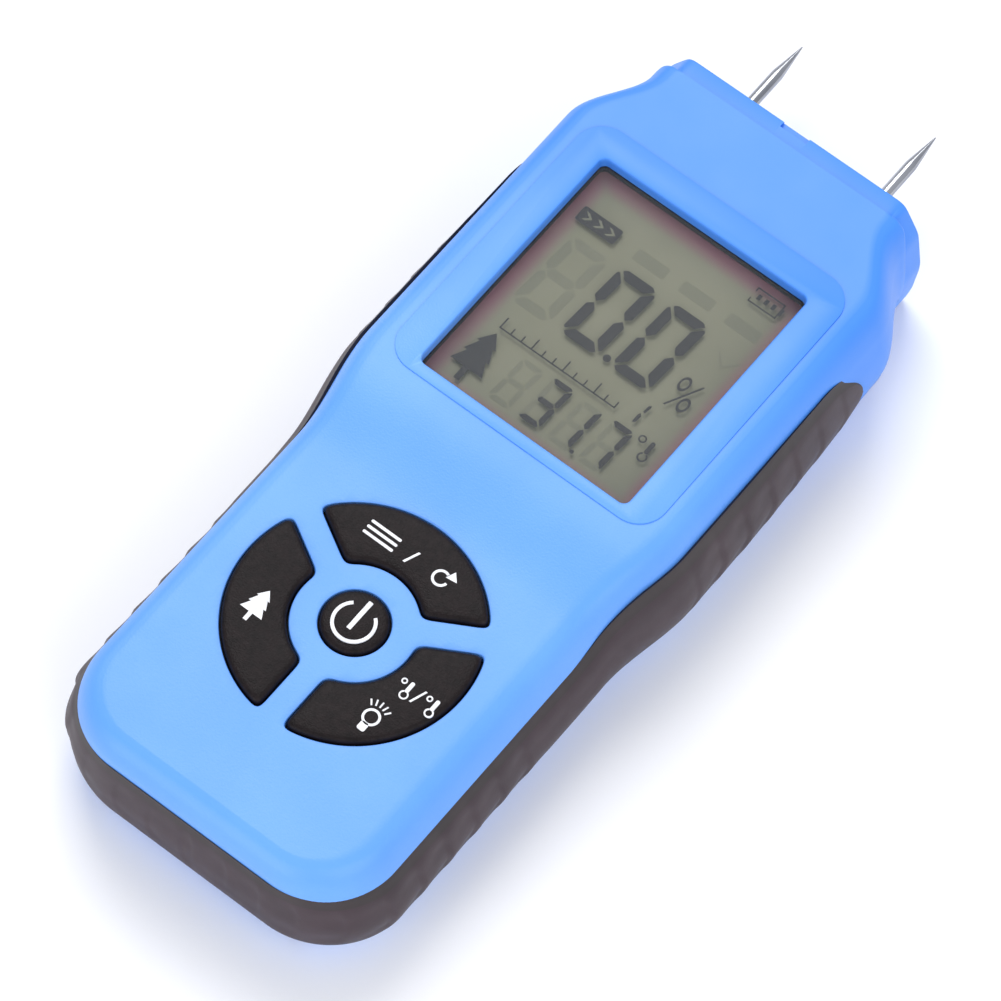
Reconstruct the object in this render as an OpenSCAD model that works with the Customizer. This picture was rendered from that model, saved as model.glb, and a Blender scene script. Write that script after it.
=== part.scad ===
// Handheld pin-type moisture meter.
// +Y runs from the handle to the pins, +Z is the display side, and the rear face rests on Z = 0.
// The origin is at the middle of the whole length, on the rear face.

/* [Case] */
// Length of the case from its bottom edge to the shoulder behind the cap seat
case_len = 143; // [140:1:175]
// Half the width of the handle at the reference line of its side
handle_half_w = 27.6; // [25.5:0.1:34]
// Half the width of the display part at the same line
display_half_w = 30.1; // [28.5:0.1:36.5]
// Height of the keypad face above the rear face
face_h = 26; // [24.5:0.1:32]
// Rise of the display face above the keypad face
display_rise = 2.2; // [0.8:0.1:4]
// Thickness of the side walls
wall = 2.2; // [1.8:0.1:2.8]
// Thickness of the face
face_t = 2.0; // [1.6:0.1:2.4]
// Radius of the bottom corners seen from the front
corner_r = 13; // [10:0.5:16]
// Height of the seam between cover and rear case
seam_h = 9; // [8:0.1:9]
// Height of the lip that keys the two shells together
lip_h = 1.5; // [1:0.1:2]
// Clearance of the lip in its rebate
lip_gap = 0.15; // [0.1:0.05:0.25]

/* [Head] */
// Narrowing of each side between the display and the shoulder
head_drop = 5.9; // [4:0.1:7]
// Length over which the head narrows
head_len = 13.5; // [11:0.5:15]
// Length of the cap seat beyond the shoulder
seat_len = 3.4; // [3:0.1:6]
// Step from the shoulder down to the cap seat
seat_step = 1.5; // [1:0.1:2]

/* [Pins] */
// Distance between the two pin axes
pin_pitch = 26; // [21.5:0.5:29]
// Height of the pin axes above the rear face
pin_z = 12; // [11.9:0.1:13]
// Radius of a pin outside its bush
pin_r = 1.0; // [0.8:0.05:1.2]
// Radius of the threaded end of a pin
pin_thread_r = 1.3; // [1.25:0.05:1.5]
// Length of that thread
thread_len = 9; // [6:0.5:10]
// Length of a pin beyond the cap seat
pin_out = 20; // [14:0.2:26]
// Length of the ground point of a pin
pin_point = 6.5; // [5:0.5:10]
// Radius of the brass bush that a pin screws into
bush_r = 2.4; // [2:0.1:2.8]
// Clearance around a bush where it passes the end wall
bush_gap = 0.1; // [0.05:0.05:0.2]
// Length of the block that holds the bushes
block_len = 13; // [10:0.5:14]

/* [Keypad] */
// Distance from the bottom edge of the case to the centre of the keypad
keypad_pos = 38.4; // [36.5:0.1:42]
// Outer radius of the ring of keys
ring_r = 20; // [16.5:0.1:21]
// Inner radius of the ring of keys
ring_inner_r = 9.8; // [9:0.1:10.5]
// Width of the three spokes of the face between the keys
spoke_w = 4.4; // [3.6:0.1:6]
// Radius of the hole for the power key
power_r = 5.5; // [4.6:0.1:6]
// Clearance between a key and its hole
key_gap = 0.3; // [0.2:0.05:0.4]
// How far a key stands out of the face
key_proud = 0.9; // [0.9:0.05:1.4]
// Travel of a key
key_travel = 0.8; // [0.5:0.05:0.8]
// Width of the flange that keeps a key under the face
key_flange = 1.0; // [0.7:0.05:1.1]
// Thickness of that flange
flange_t = 0.8; // [0.6:0.05:1]

/* [Display] */
// Width of the window
window_w = 39.2; // [32:0.1:40]
// Length of the window
window_l = 45.2; // [37:0.1:46]
// Distance from the shoulder back to the window
window_back = 19.8; // [19.8:0.1:22]
// Width of the ledge that the lens is bonded to
lens_land = 1.2; // [0.8:0.1:1.4]
// Thickness of the lens
lens_t = 1.2; // [0.8:0.1:1.4]
// Thickness of the dark gasket under the lens
gasket_t = 0.5; // [0.3:0.1:0.8]
// Thickness of the liquid crystal glass
lcd_t = 2.8; // [2.2:0.1:3]
// Border of the liquid crystal glass around the window
lcd_border = 2.2; // [1.6:0.1:2.3]
// Wall of the frame that holds the liquid crystal glass
lcd_frame_w = 1.0; // [0.8:0.1:1.2]

/* [Grip] */
// Bulge of the grip beyond the reference line of the side
grip_bulge = 3.3; // [2.8:0.1:4]
// Bulge of the grip beyond the bottom edge
grip_end_bulge = 1.0; // [0.6:0.1:1.4]
// Depth of the groove in the case that the grip sits in
grip_seat = 1.0; // [0.6:0.1:1.2]
// Height of the lower edge of the grip
grip_low = 5.3; // [4.5:0.1:6]
// Drop from the keypad face to the upper edge of the grip
grip_drop = 6.0; // [5:0.1:7]
// Drop from the display face to the upper edge of the grip
grip_drop_display = 4.6; // [4:0.1:6]
// Distance from the shoulder back to the ends of the grip
grip_stop = 20.5; // [16:0.5:30]

/* [Battery bay] */
// Radius of a cell
cell_r = 5.25; // [5:0.05:5.3]
// Length of a cell with its button
cell_len = 44.5; // [42:0.5:45]
// Number of cells side by side
cell_count = 3; // [2:1:3]
// Clearance beside and above the cells
cell_gap = 0.4; // [0.3:0.05:0.5]
// Room for the contacts at each end of the bay
contact_room = 3.6; // [3.2:0.1:4]
// Thickness of the walls of the bay
bay_wall = 1.3; // [1:0.1:1.4]
// Distance from the bottom edge of the case to the bay
bay_pos = 8.3; // [7.5:0.1:9]
// Thickness of the battery door
door_t = 1.9; // [1.6:0.1:2]
// Width of the tongues on the sides of the door
tongue_w = 1.0; // [0.8:0.1:1.2]
// Thickness of those tongues
tongue_t = 0.9; // [0.7:0.1:1]
// Clearance around the door
door_gap = 0.3; // [0.2:0.05:0.35]

/* [Board] */
// Thickness of the main board
board_t = 1.6; // [1.2:0.2:1.6]
// Clearance between the battery bay and the main board
board_room = 1.9; // [1.5:0.1:2.3]
// Radius of the posts that the board is screwed to
post_r = 2.2; // [1.8:0.1:2.6]
// Radius of the board screws
board_screw_r = 0.8; // [0.7:0.05:1]
// Radius of the case screws
case_screw_r = 1.1; // [0.9:0.05:1.3]
// Radius of the bosses for the case screws
boss_r = 3.0; // [2.8:0.1:3.2]
// Distance of the case screws from the middle plane
case_screw_x = 22.3; // [21.7:0.1:22.6]

/* [Hidden] */

$fn = 64;
eps = 0.01;
total_len = grip_end_bulge + case_len + seat_len + pin_out;
y0 = grip_end_bulge - total_len / 2;
display_h = face_h + display_rise;
window_pos = case_len - window_back - window_l;
// height of the widest part of the side
mid_h = 12.7;

// where the handle widens, where the face rises and where the head narrows
widen_pos = keypad_pos + 21.8;
widen_len = 19;
rise_pos = keypad_pos + 19;
rise_len = 16;
taper_pos = case_len - head_len - 2;
shoulder_r = 1.5;

// battery bay, its door and the board that lies over it
floor_t = 2.2;
door_low = 0.3;
slot_top = door_low + door_t + 0.2;
tongue_low = door_low + 0.7;
cell_pitch = 2 * cell_r + 0.7;
cell_z = slot_top + 0.3 + cell_r;
bay_top = cell_z + cell_r + cell_gap;
bay_half_w = (cell_count - 1) * cell_pitch / 2 + cell_r + cell_gap;
bay_len = cell_len + 2 * contact_room;
bay_end = bay_pos + bay_len;
door_half_w = bay_half_w + 0.75;
door_end = bay_end + 2;
board_low = bay_top + bay_wall + board_room;
board_top = board_low + board_t;

function smooth(u) = let (t = min(1, max(0, u))) t * t * (3 - 2 * t);
function half_w(v) = handle_half_w + (display_half_w - handle_half_w) * smooth((v - widen_pos) / widen_len)
    - head_drop * smooth((v - taper_pos) / head_len);
function face_z(v) = face_h + display_rise * smooth((v - rise_pos) / rise_len);
// heights above mid_h are given for the display part and shrink with the face along the handle
function level_z(z, v) = z <= mid_h ? z : mid_h + (z - mid_h) * (face_z(v) - mid_h) / (display_h - mid_h);

// right half of the outline seen from the front, moved in by side and by end
function outline(side, end, top) = let (
        r0 = max(1, corner_r - max(side, end)),
        x0 = handle_half_w - side - r0,
        r1 = max(0.5, shoulder_r - side),
        x1 = half_w(case_len) - side - r1,
        y1 = case_len - top - r1)
    concat(
        [for (a = [-90 : 15 : 0]) [x0 + r0 * cos(a), end + r0 + r0 * sin(a)]],
        [for (i = [0 : 8]) let (v = widen_pos + widen_len * i / 8) [half_w(v) - side, v]],
        [for (i = [0 : 5]) let (v = taper_pos + head_len * i / 6) [half_w(v) - side, v]],
        [for (a = [0 : 30 : 90]) [x1 + r1 * cos(a), y1 + r1 * sin(a)]]);

// closed body through rings at several heights: each level is [height, side, end, top]
module loft(levels) {
    rings = [for (l = levels) let (h = outline(l[1], l[2], l[3])) [
        for (p = h) [p[0], y0 + p[1], level_z(l[0], p[1])],
        for (i = [len(h) - 1 : -1 : 0]) [-h[i][0], y0 + h[i][1], level_z(l[0], h[i][1])]]];
    n = len(rings[0]);
    k = len(rings);
    bottom = [for (i = [0 : n / 2 - 2]) each [[i, i + 1, n - 2 - i], [i, n - 2 - i, n - 1 - i]]];
    top = [for (i = [0 : n / 2 - 2]) each [
        [(k - 1) * n + i, (k - 1) * n + n - 2 - i, (k - 1) * n + i + 1],
        [(k - 1) * n + i, (k - 1) * n + n - 1 - i, (k - 1) * n + n - 2 - i]]];
    sides = [for (j = [0 : k - 2], i = [0 : n - 1]) let (a = j * n + i, b = j * n + (i + 1) % n) each [
        [a, a + n, b], [b, a + n, b + n]]];
    polyhedron([for (r = rings) each r], concat(bottom, top, sides), convexity = 6);
}

// side of the case: [height, side inset, end inset, inset at the shoulder]
rear_levels = [[0, 2.6, 3.8, 0.6], [0.8, 1.6, 2.7, 0.2], [2.4, 0.9, 1.8, 0.1], [grip_low, 0.2, 1.2, 0],
    [seam_h, -0.8, 0.6, 0]];
cover_levels = [[seam_h, -0.8, 0.6, 0], [mid_h, -1.4, 0.2, 0], [17, -1.2, 0.1, 0], [21.2, -0.5, 0, 0],
    [23.6, 0, 0, 0], [display_h - 2.2, 0.9, 0.7, 0], [display_h - 0.6, 2.2, 2, 0.1],
    [display_h, 3.8, 3.4, 0.3]];
function moved(levels, d) = [for (l = levels) [l[0], l[1] + d, l[2] + d, l[3] + d]];

module cover_cavity() {
    loft([[seam_h - 2, wall - 0.2, wall + 0.8, wall], [seam_h, wall - 0.2, wall + 0.8, wall],
        [mid_h, wall - 0.6, wall + 0.4, wall], [21.2, wall - 0.2, wall, wall],
        [display_h - face_t, wall + 1.4, wall + 1, wall]]);
}
module rear_cavity() {
    loft([[floor_t, wall + 0.8, wall + 2.6, wall], [grip_low, wall + 0.2, wall + 1.6, wall],
        [seam_h, wall - 0.2, wall + 0.8, wall], [seam_h + 4, wall - 0.2, wall + 0.8, wall]]);
}

// lip on the rear case and, grown by its clearance, the rebate for it in the cover
module lip(low, high, grow) {
    difference() {
        loft([for (z = [low, high]) [z, wall - 1.05 - grow, wall + 0.1 - grow, 2]]);
        loft([for (z = [low - 1, high + 1]) [z, wall - 0.2 + grow, wall + 0.8 + grow, 3]]);
        at_case_screws() translate([0, 0, low - 1]) cylinder(r = boss_r + 2 * lip_gap - grow, h = 9);
        translate([-50, y0 + case_len - 12 - boss_r, low - 1]) cube([100, 40, 9]);
    }
}

// straight core that the grip is moulded around
module grip_core() {
    loft([[grip_low - 3, grip_seat + 0.4, grip_seat + 1.4, 0], [mid_h, grip_seat - 1.4, grip_seat + 0.2, 0],
        [display_h - 2.2, grip_seat, grip_seat, 0]]);
}

// region of the grip seen from the side
module grip_region() {
    end = case_len - grip_stop;
    top_z = display_h - grip_drop_display;
    low_r = (top_z - grip_low) / 2;
    function upper(v) = face_h - grip_drop
        + (top_z - face_h + grip_drop) * smooth((v - keypad_pos - 15.5) / 18);
    profile = concat(
        [[-6, grip_low]],
        [for (a = [-90 : 15 : 90]) [end - low_r + low_r * cos(a), grip_low + low_r + low_r * sin(a)]],
        [for (i = [8 : -1 : 0]) let (v = keypad_pos + 15.5 + 18 * i / 8) [v, upper(v)]],
        [[-6, upper(-6)]]);
    translate([-50, y0, 0]) rotate([90, 0, 90]) linear_extrude(100) polygon(profile);
}

module grip_groove() {
    difference() {
        grip_region();
        grip_core();
    }
}

// section of the cap seat, between two heights
module seat_section(low, high, inset) {
    half = half_w(case_len) - seat_step - inset;
    z1 = display_h - seat_step - inset;
    z0 = 0.4 + inset;
    intersection() {
        polygon([[half + 0.5, z0], [half + 1.6, grip_low], [half + 2.4, mid_h], [half + 1.2, 21.2],
            [half - 2, z1], [2 - half, z1], [-half - 1.2, 21.2], [-half - 2.4, mid_h],
            [-half - 1.6, grip_low], [-half - 0.5, z0]]);
        translate([-50, low]) square([100, high - low]);
    }
}
module seat(low, high) {
    translate([0, y0 + case_len + seat_len, 0]) rotate([90, 0, 0])
        linear_extrude(seat_len + wall) seat_section(low, high, 0);
}

module at_pins() {
    for (s = [-1, 1]) translate([s * pin_pitch / 2, 0, pin_z]) rotate([-90, 0, 0]) children();
}

// places of the case screws and of the board screws
case_screw_v = [corner_r + 3, case_len - 12];
module at_case_screws() {
    for (s = [-1, 1], v = case_screw_v) translate([s * case_screw_x, y0 + v, 0]) children();
}
board_screw_places = [[14, 10], [18, keypad_pos + 31.1]];
module at_board_screws() {
    for (s = [-1, 1], p = board_screw_places) translate([s * p[0], y0 + p[1], 0]) children();
}

// outline of one ring key, grown by d: the sector around angle a
module key_sector(a, d) {
    half_gap = spoke_w / 2 - d;
    rotate(a) difference() {
        intersection() {
            difference() {
                circle(ring_r + d, $fn = 128);
                circle(ring_inner_r - d, $fn = 128);
            }
            polygon([for (s = [-60, 60]) 60 * [cos(s), sin(s)], [0, 0]]);
        }
        for (s = [-1, 1]) rotate(s * 60) translate([-1, s > 0 ? -half_gap : -10]) square([60, 10 + half_gap]);
    }
}
key_angles = [90, 210, 330];
module at_keypad(z) {
    translate([0, y0 + keypad_pos, z]) children();
}

window_mid = window_pos + window_l / 2;
module window_plate(border, low, high, r) {
    w = window_w + 2 * border;
    l = window_l + 2 * border;
    translate([0, y0 + window_mid, low]) linear_extrude(high - low) round_rect(w, l, r);
}
module round_rect(w, l, r) {
    square([w - 2 * r, l], center = true);
    square([w, l - 2 * r], center = true);
    for (x = [-1, 1], y = [-1, 1]) translate([x * (w / 2 - r), y * (l / 2 - r)]) circle(r);
}

// heights of the display stack, from the face down
lens_top = display_h - face_t - 0.05;
lens_low = lens_top - lens_t;
gasket_low = lens_low - gasket_t;
lcd_low = gasket_low - lcd_t;
cover_under = level_z(display_h - face_t, 0);

module front_cover() {
    color("dodgerblue") difference() {
        union() {
            difference() {
                union() {
                    loft(cover_levels);
                    seat(seam_h, 50);
                }
                cover_cavity();
                grip_groove();
                lip(seam_h - 1, seam_h + lip_h + lip_gap, lip_gap);
            }
            intersection() {
                loft(moved(cover_levels, 0.8));
                union() {
                    at_case_screws() translate([0, 0, seam_h]) cylinder(r = boss_r, h = 30);
                    at_board_screws() translate([0, 0, board_top]) cylinder(r = post_r, h = 30);
                    block_ribs(block_top, 40);
                }
            }
        }
        at_case_screws() translate([0, 0, seam_h - 1]) cylinder(r = case_screw_r, h = screw_grip + 1.4);
        at_board_screws() translate([0, 0, board_top - 1]) cylinder(r = board_screw_r, h = board_grip + 1.4);
        window_plate(0, 10, 60, 1);
        at_keypad(board_top) for (a = key_angles) linear_extrude(30) key_sector(a, 0);
        at_keypad(board_top) cylinder(r = power_r, h = 30);
        at_bushes(end_wall_v - 1) cylinder(r = bush_r + bush_gap, h = 20);
        // small alignment notch for a cap
        translate([-2.5, y0 + seat_end_v - 1.2, display_h - seat_step - 1.2]) cube([5, 3, 5]);
    }
}

module rear_case() {
    color("dodgerblue") difference() {
        union() {
            difference() {
                union() {
                    loft(rear_levels);
                    seat(0, seam_h);
                }
                rear_cavity();
                grip_groove();
            }
            lip(seam_h - 0.6, seam_h + lip_h, 0);
            intersection() {
                loft(moved(rear_levels, 0.6));
                union() {
                    at_case_screws() cylinder(r = boss_r + 0.2, h = seam_h);
                    block_ribs(0.5, block_low);
                    bay_box(bay_wall, 0.6, seam_h);
                    // pad that holds the grooves for the door
                    slot_box(tongue_w + door_gap + 1.5, 3, 0.6, slot_top + 1.5);
                }
            }
            bay_box(bay_wall, slot_top, bay_top + bay_wall);
        }
        bay_box(0, -1, bay_top);
        slot_box(door_gap, door_gap, -1, slot_top);
        slot_box(tongue_w + door_gap, door_gap, tongue_low - 0.2, slot_top);
        at_case_screws() {
            translate([0, 0, -1]) cylinder(r = case_screw_r + 0.3, h = 20);
            translate([0, 0, -1]) cylinder(r = screw_head_r + 0.2, h = screw_seat + 1);
        }
        plate_tabs(0.15);
    }
}

module side_grip() {
    color([0.22, 0.17, 0.18]) difference() {
        intersection() {
            loft([[grip_low - 1, -0.8, 0.5, 0], [grip_low, -1.1, 0, 0],
                [8.5, 0.7 - grip_bulge, 0.4 - grip_end_bulge, 0], [mid_h, -grip_bulge, -grip_end_bulge, 0],
                [17.5, 0.5 - grip_bulge, 0.15 - grip_end_bulge, 0],
                [20.8, 1.3 - grip_bulge, 0.3 - grip_end_bulge, 0],
                [23.6, -1.2, -0.5, 0], [26, -0.9, -0.4, 0]]);
            grip_region();
        }
        grip_core();
    }
}

module battery_door() {
    color("dodgerblue") difference() {
        intersection() {
            union() {
                slot_box(0, 0, door_low, door_low + door_t);
                slot_box(tongue_w, 0, tongue_low, tongue_low + tongue_t);
            }
            loft(moved(rear_levels, 0.2));
        }
        // ribs for the thumb
        for (i = [0 : 5]) translate([-7, y0 + 12 + 2.4 * i, door_low - 1]) cube([14, 1.2, 1.5]);
    }
}

module window_lens() {
    color([0.85, 0.9, 0.9, 0.35]) window_plate(lens_land, lens_low, lens_top, 1.5);
}
module window_gasket() {
    color([0.08, 0.08, 0.09]) difference() {
        window_plate(lens_land, gasket_low, lens_low, 1.5);
        window_plate(-0.4, gasket_low - 1, lens_low + 1, 1);
    }
}
module lcd_glass() {
    color([0.53, 0.54, 0.45]) window_plate(lcd_border, lcd_low, gasket_low, 0.4);
}
module lcd_frame() {
    color("whitesmoke") difference() {
        window_plate(lcd_border + 0.1 + lcd_frame_w, board_top, gasket_low - 0.1, 1);
        window_plate(lcd_border + 0.1, lcd_low, gasket_low + 1, 0.4);
        window_plate(lcd_border - 1, board_top - 1, lcd_low + 1, 0.4);
    }
}
guide_low = board_top + 0.1;
module light_guide() {
    color([0.95, 0.97, 0.93]) translate([-window_w / 2, y0 + window_pos + 1.2, guide_low])
        cube([window_w, window_l - 0.6, lcd_low - guide_low - 0.1]);
}
module backlight_leds() {
    color("lightyellow") for (k = [-1, 0, 1])
        translate([window_w / 2 + 0.1, y0 + window_mid + 13 * k - 1.5, board_top])
            cube([0.9, 3, 0.43 * (lcd_low - board_top)]);
}
module zebra_strip() {
    color([0.85, 0.45, 0.5]) translate([-16, y0 + window_pos - 1, board_top])
        cube([32, 1.4, lcd_low - board_top]);
}

flange_top = cover_under - 0.05;
flange_low = flange_top - flange_t;
dome_h = 0.45;
plunger_low = board_top + dome_h + key_travel + 0.05;
plunger_r = 1.6;
key_mid_r = (ring_r + ring_inner_r) / 2;

module ring_key(a) {
    color([0.16, 0.13, 0.13]) at_keypad(0) {
        translate([0, 0, flange_low]) linear_extrude(flange_t) key_sector(a, key_flange);
        translate([0, 0, flange_low]) linear_extrude(face_h + key_proud - flange_low) key_sector(a, -key_gap);
        rotate(a) translate([key_mid_r, 0, plunger_low])
            cylinder(r = plunger_r, h = flange_low + eps - plunger_low);
    }
}
module mode_key() ring_key(key_angles[0]);
module species_key() ring_key(key_angles[1]);
module unit_key() ring_key(key_angles[2]);
module power_key() {
    color([0.16, 0.13, 0.13]) at_keypad(0) {
        translate([0, 0, flange_low]) cylinder(r = power_r + key_flange, h = flange_t);
        translate([0, 0, flange_low]) cylinder(r = power_r - key_gap, h = face_h + key_proud - flange_low);
        translate([0, 0, plunger_low]) cylinder(r = plunger_r, h = flange_low + eps - plunger_low);
    }
}
module at_domes() {
    children();
    for (a = key_angles) rotate(a) translate([key_mid_r, 0, 0]) children();
}
mat_top = flange_low - key_travel - 0.15;
mat_t = 0.8;
mat_w = 36;
mat_l = 43;
module keypad_mat() {
    color("dimgray") at_keypad(0) difference() {
        translate([0, 0, board_top]) linear_extrude(mat_top - board_top) round_rect(mat_w, mat_l, 4);
        translate([0, 0, board_top - 1]) linear_extrude(mat_top - mat_t - board_top + 1)
            round_rect(mat_w - 2.4, mat_l - 2.4, 2.8);
        at_domes() translate([0, 0, board_top]) cylinder(r = plunger_r + 0.5, h = 10);
    }
}
module snap_domes() {
    color("silver") at_keypad(board_top) at_domes() cylinder(r1 = 3, r2 = 1.6, h = dome_h);
}

board_start_v = 4.8;
board_end_v = window_pos + window_l + 3.6;
module main_board() {
    narrow = mat_w / 2 + 0.6;
    wide = window_w / 2 + lcd_border + lcd_frame_w + 0.6;
    color("seagreen") difference() {
        translate([0, y0, board_low]) linear_extrude(board_t) polygon([
            [-narrow, board_start_v], [narrow, board_start_v],
            [narrow, keypad_pos + 26], [wide, keypad_pos + 30], [wide, board_end_v],
            [-wide, board_end_v], [-wide, keypad_pos + 30], [-narrow, keypad_pos + 26]]);
        at_board_screws() translate([0, 0, board_low - 1]) cylinder(r = board_screw_r + 0.25, h = 5);
    }
}
module controller_chip() {
    color([0.1, 0.1, 0.11]) translate([-6, y0 + window_mid - 10, board_low - 1.4]) cube([12, 12, 1.4]);
    color("silver") for (i = [0 : 9], s = [0, 1]) {
        translate([-5 + 1.05 * i, y0 + window_mid - 11 + 13 * s, board_low - 0.5]) cube([0.4, 1, 0.5]);
        translate([s * 13 - 7, y0 + window_mid - 9 + 1.05 * i, board_low - 0.5]) cube([1, 0.4, 0.5]);
    }
}
module buzzer() {
    color([0.12, 0.12, 0.13]) translate([-14, y0 + window_mid - 18, board_low - 5]) difference() {
        cylinder(r = 4.6, h = 5);
        translate([0, 0, -1]) cylinder(r = 0.9, h = 3);
    }
}
// small parts soldered under the board: [x, distance from the chip, width, length, height]
small_parts = [
    [10, -14, 2, 1.2, 0.8], [10, -11, 2, 1.2, 0.8], [13, -14, 3.2, 1.6, 1.2], [14, -8, 4, 4, 2.4],
    [-13, -3, 5, 3.2, 1.6], [-13, 3, 2, 1.2, 0.8], [-13, 6, 2, 1.2, 0.8], [12, 4, 8, 3.2, 2.6],
    [0, 12, 4.9, 3.9, 1.5], [-9, 14, 2, 1.2, 0.8], [8, 14, 2, 1.2, 0.8], [-5, -18, 2.9, 1.6, 1.1]];
module board_parts() {
    color("tan") for (p = small_parts)
        translate([p[0] - p[2] / 2, y0 + window_mid + p[1] - p[3] / 2, board_low - p[4]])
            cube([p[2], p[3], p[4]]);
}
module temperature_sensor() {
    color("black") translate([0, y0 + board_end_v - 3, board_low]) {
        translate([0, 0, -2]) sphere(r = 1.4, $fn = 32);
        for (s = [-1, 1]) translate([0.6 * s, 0, -1.2]) cylinder(r = 0.25, h = 1.2, $fn = 16);
    }
}

screw_seat = 1.9;
screw_head_r = 2.1;
screw_grip = 7.5;
board_grip = 3;
module case_screws() {
    color("gray") at_case_screws() difference() {
        union() {
            translate([0, 0, screw_seat - 1.4]) cylinder(r = screw_head_r, h = 1.4);
            translate([0, 0, screw_seat]) cylinder(r = case_screw_r, h = seam_h + screw_grip - screw_seat);
        }
        for (a = [0, 90]) rotate(a) translate([-1.3, -0.3, screw_seat - 2]) cube([2.6, 0.6, 1.5]);
    }
}
module board_screws() {
    color("silver") at_board_screws() difference() {
        union() {
            translate([0, 0, board_low - 1.1]) cylinder(r = 1.7, h = 1.1);
            translate([0, 0, board_low - eps]) cylinder(r = board_screw_r, h = board_t + board_grip + eps);
        }
        for (a = [0, 90]) rotate(a) translate([-1, -0.25, board_low - 2]) cube([2, 0.5, 1.5]);
    }
}

// battery bay
module bay_box(grow, low, high) {
    translate([-bay_half_w - grow, y0 + bay_pos - grow, low])
        cube([2 * (bay_half_w + grow), bay_len + 2 * grow, high - low]);
}
// box of the door's outline, open towards the bottom end of the case
module slot_box(side, end, low, high) {
    translate([-door_half_w - side, y0 - 4, low])
        cube([2 * (door_half_w + side), door_end + end + 4, high - low]);
}
function cell_x(i) = (i - (cell_count - 1) / 2) * cell_pitch;
// cells lie head to tail: +1 where the button points to the pins
function cell_dir(i) = i % 2 == 0 ? 1 : -1;
plate_t = 0.4;
nub_h = 0.6;
module at_cell(i) {
    translate([cell_x(i), y0 + bay_pos + bay_len / 2, cell_z]) rotate([-90 * cell_dir(i), 0, 0]) children();
}
cell_head = bay_len / 2 - plate_t - nub_h - 0.15;
module cells() {
    color("darkorange") for (i = [0 : cell_count - 1]) at_cell(i) {
        translate([0, 0, cell_head - cell_len]) cylinder(r = cell_r, h = cell_len - 1);
        translate([0, 0, cell_head - 1 - eps]) cylinder(r = 1.9, h = 1 + eps);
    }
}
// contact plates: single at the ends of the chain, double between two cells
module end_plate(i, j, s) {
    x0 = min(cell_x(i), cell_x(j)) - 4;
    x1 = max(cell_x(i), cell_x(j)) + 4;
    v = s > 0 ? bay_end - plate_t - 0.05 : bay_pos + 0.05;
    translate([x0, y0 + v, cell_z - 4.2]) cube([x1 - x0, plate_t, 8.6]);
}
lead_ends = [[0, 1], [cell_count - 1, cell_count % 2 == 1 ? -1 : 1]];
tab_out = bay_wall + 1.6;
module plate_tabs(grow) {
    for (e = lead_ends) {
        v = e[1] > 0 ? bay_end - 0.1 : bay_pos - tab_out + 0.1;
        translate([cell_x(e[0]) - 1.2 - grow, y0 + v - grow, cell_z + 1 - grow])
            cube([2.4 + 2 * grow, tab_out + 2 * grow, 0.5 + 2 * grow]);
    }
}
module contact_plates() {
    color("lightgray") {
        for (s = [-1, 1], i = [0 : cell_count - 1]) {
            next = (s < 0) == (i % 2 == 0) ? i + 1 : i - 1;
            j = next < 0 || next >= cell_count ? i : next;
            if (j >= i) end_plate(i, j, s);
        }
        for (i = [0 : cell_count - 1]) at_cell(i)
            translate([0, 0, bay_len / 2 - plate_t - nub_h - 0.1])
                cylinder(r1 = 1.5, r2 = 2, h = nub_h + 0.1);
        plate_tabs(0);
    }
}
// wire swept along points given as a list, with n sides
function unit(p) = p / norm(p);
module swept_wire(path, r, n) {
    k = len(path);
    rings = [for (i = [0 : k - 1]) let (
            t = unit(path[min(k - 1, i + 1)] - path[max(0, i - 1)]),
            side = unit(cross(t, abs(t[0]) > 0.9 ? [0, 0, 1] : [1, 0, 0])),
            up = cross(side, t))
        for (a = [0 : n - 1]) path[i] + r * (cos(360 * a / n) * side + sin(360 * a / n) * up)];
    sides = [for (i = [0 : k - 2], a = [0 : n - 1]) let (b = (a + 1) % n) each [
        [i * n + a, i * n + b, (i + 1) * n + a], [i * n + b, (i + 1) * n + b, (i + 1) * n + a]]];
    polyhedron(rings, concat([[for (a = [n - 1 : -1 : 0]) a]], sides,
        [[for (a = [0 : n - 1]) (k - 1) * n + a]]), convexity = 8);
}
spring_wire = 0.35;
spring_len = bay_len - cell_len - plate_t - nub_h - 0.15 - plate_t - 0.15;
module contact_springs() {
    turns = 4;
    color("silver") for (i = [0 : cell_count - 1]) at_cell(i)
        translate([0, 0, cell_head - cell_len - spring_len + spring_wire + 0.05])
            swept_wire([for (s = [0 : 14 * turns]) let (
                    u = s / (14 * turns), a = 360 * s / 14, r = 3.6 - 1.2 * u)
                [r * cos(a), r * sin(a), u * (spring_len - 2 * spring_wire - 0.1)]], spring_wire, 6);
}
module battery_leads() {
    color("firebrick") for (e = lead_ends) {
        s = e[1];
        x = cell_x(e[0]);
        v = s > 0 ? bay_end + tab_out - 0.8 : bay_pos - tab_out + 0.8;
        z = cell_z + 1.5;
        swept_wire([for (p = [[0, 0, 0], [0, 0, 0.6], [0, 0.6, 1.6], [0.2, 1.4, 2.7], [0.4, 1.8, 3.8],
                [0.4, 1.8, board_low - z]])
            [x + p[0], y0 + v + (s > 0 ? 1 : -0.3) * p[1], z + p[2]]], 0.55, 8);
    }
}

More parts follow.
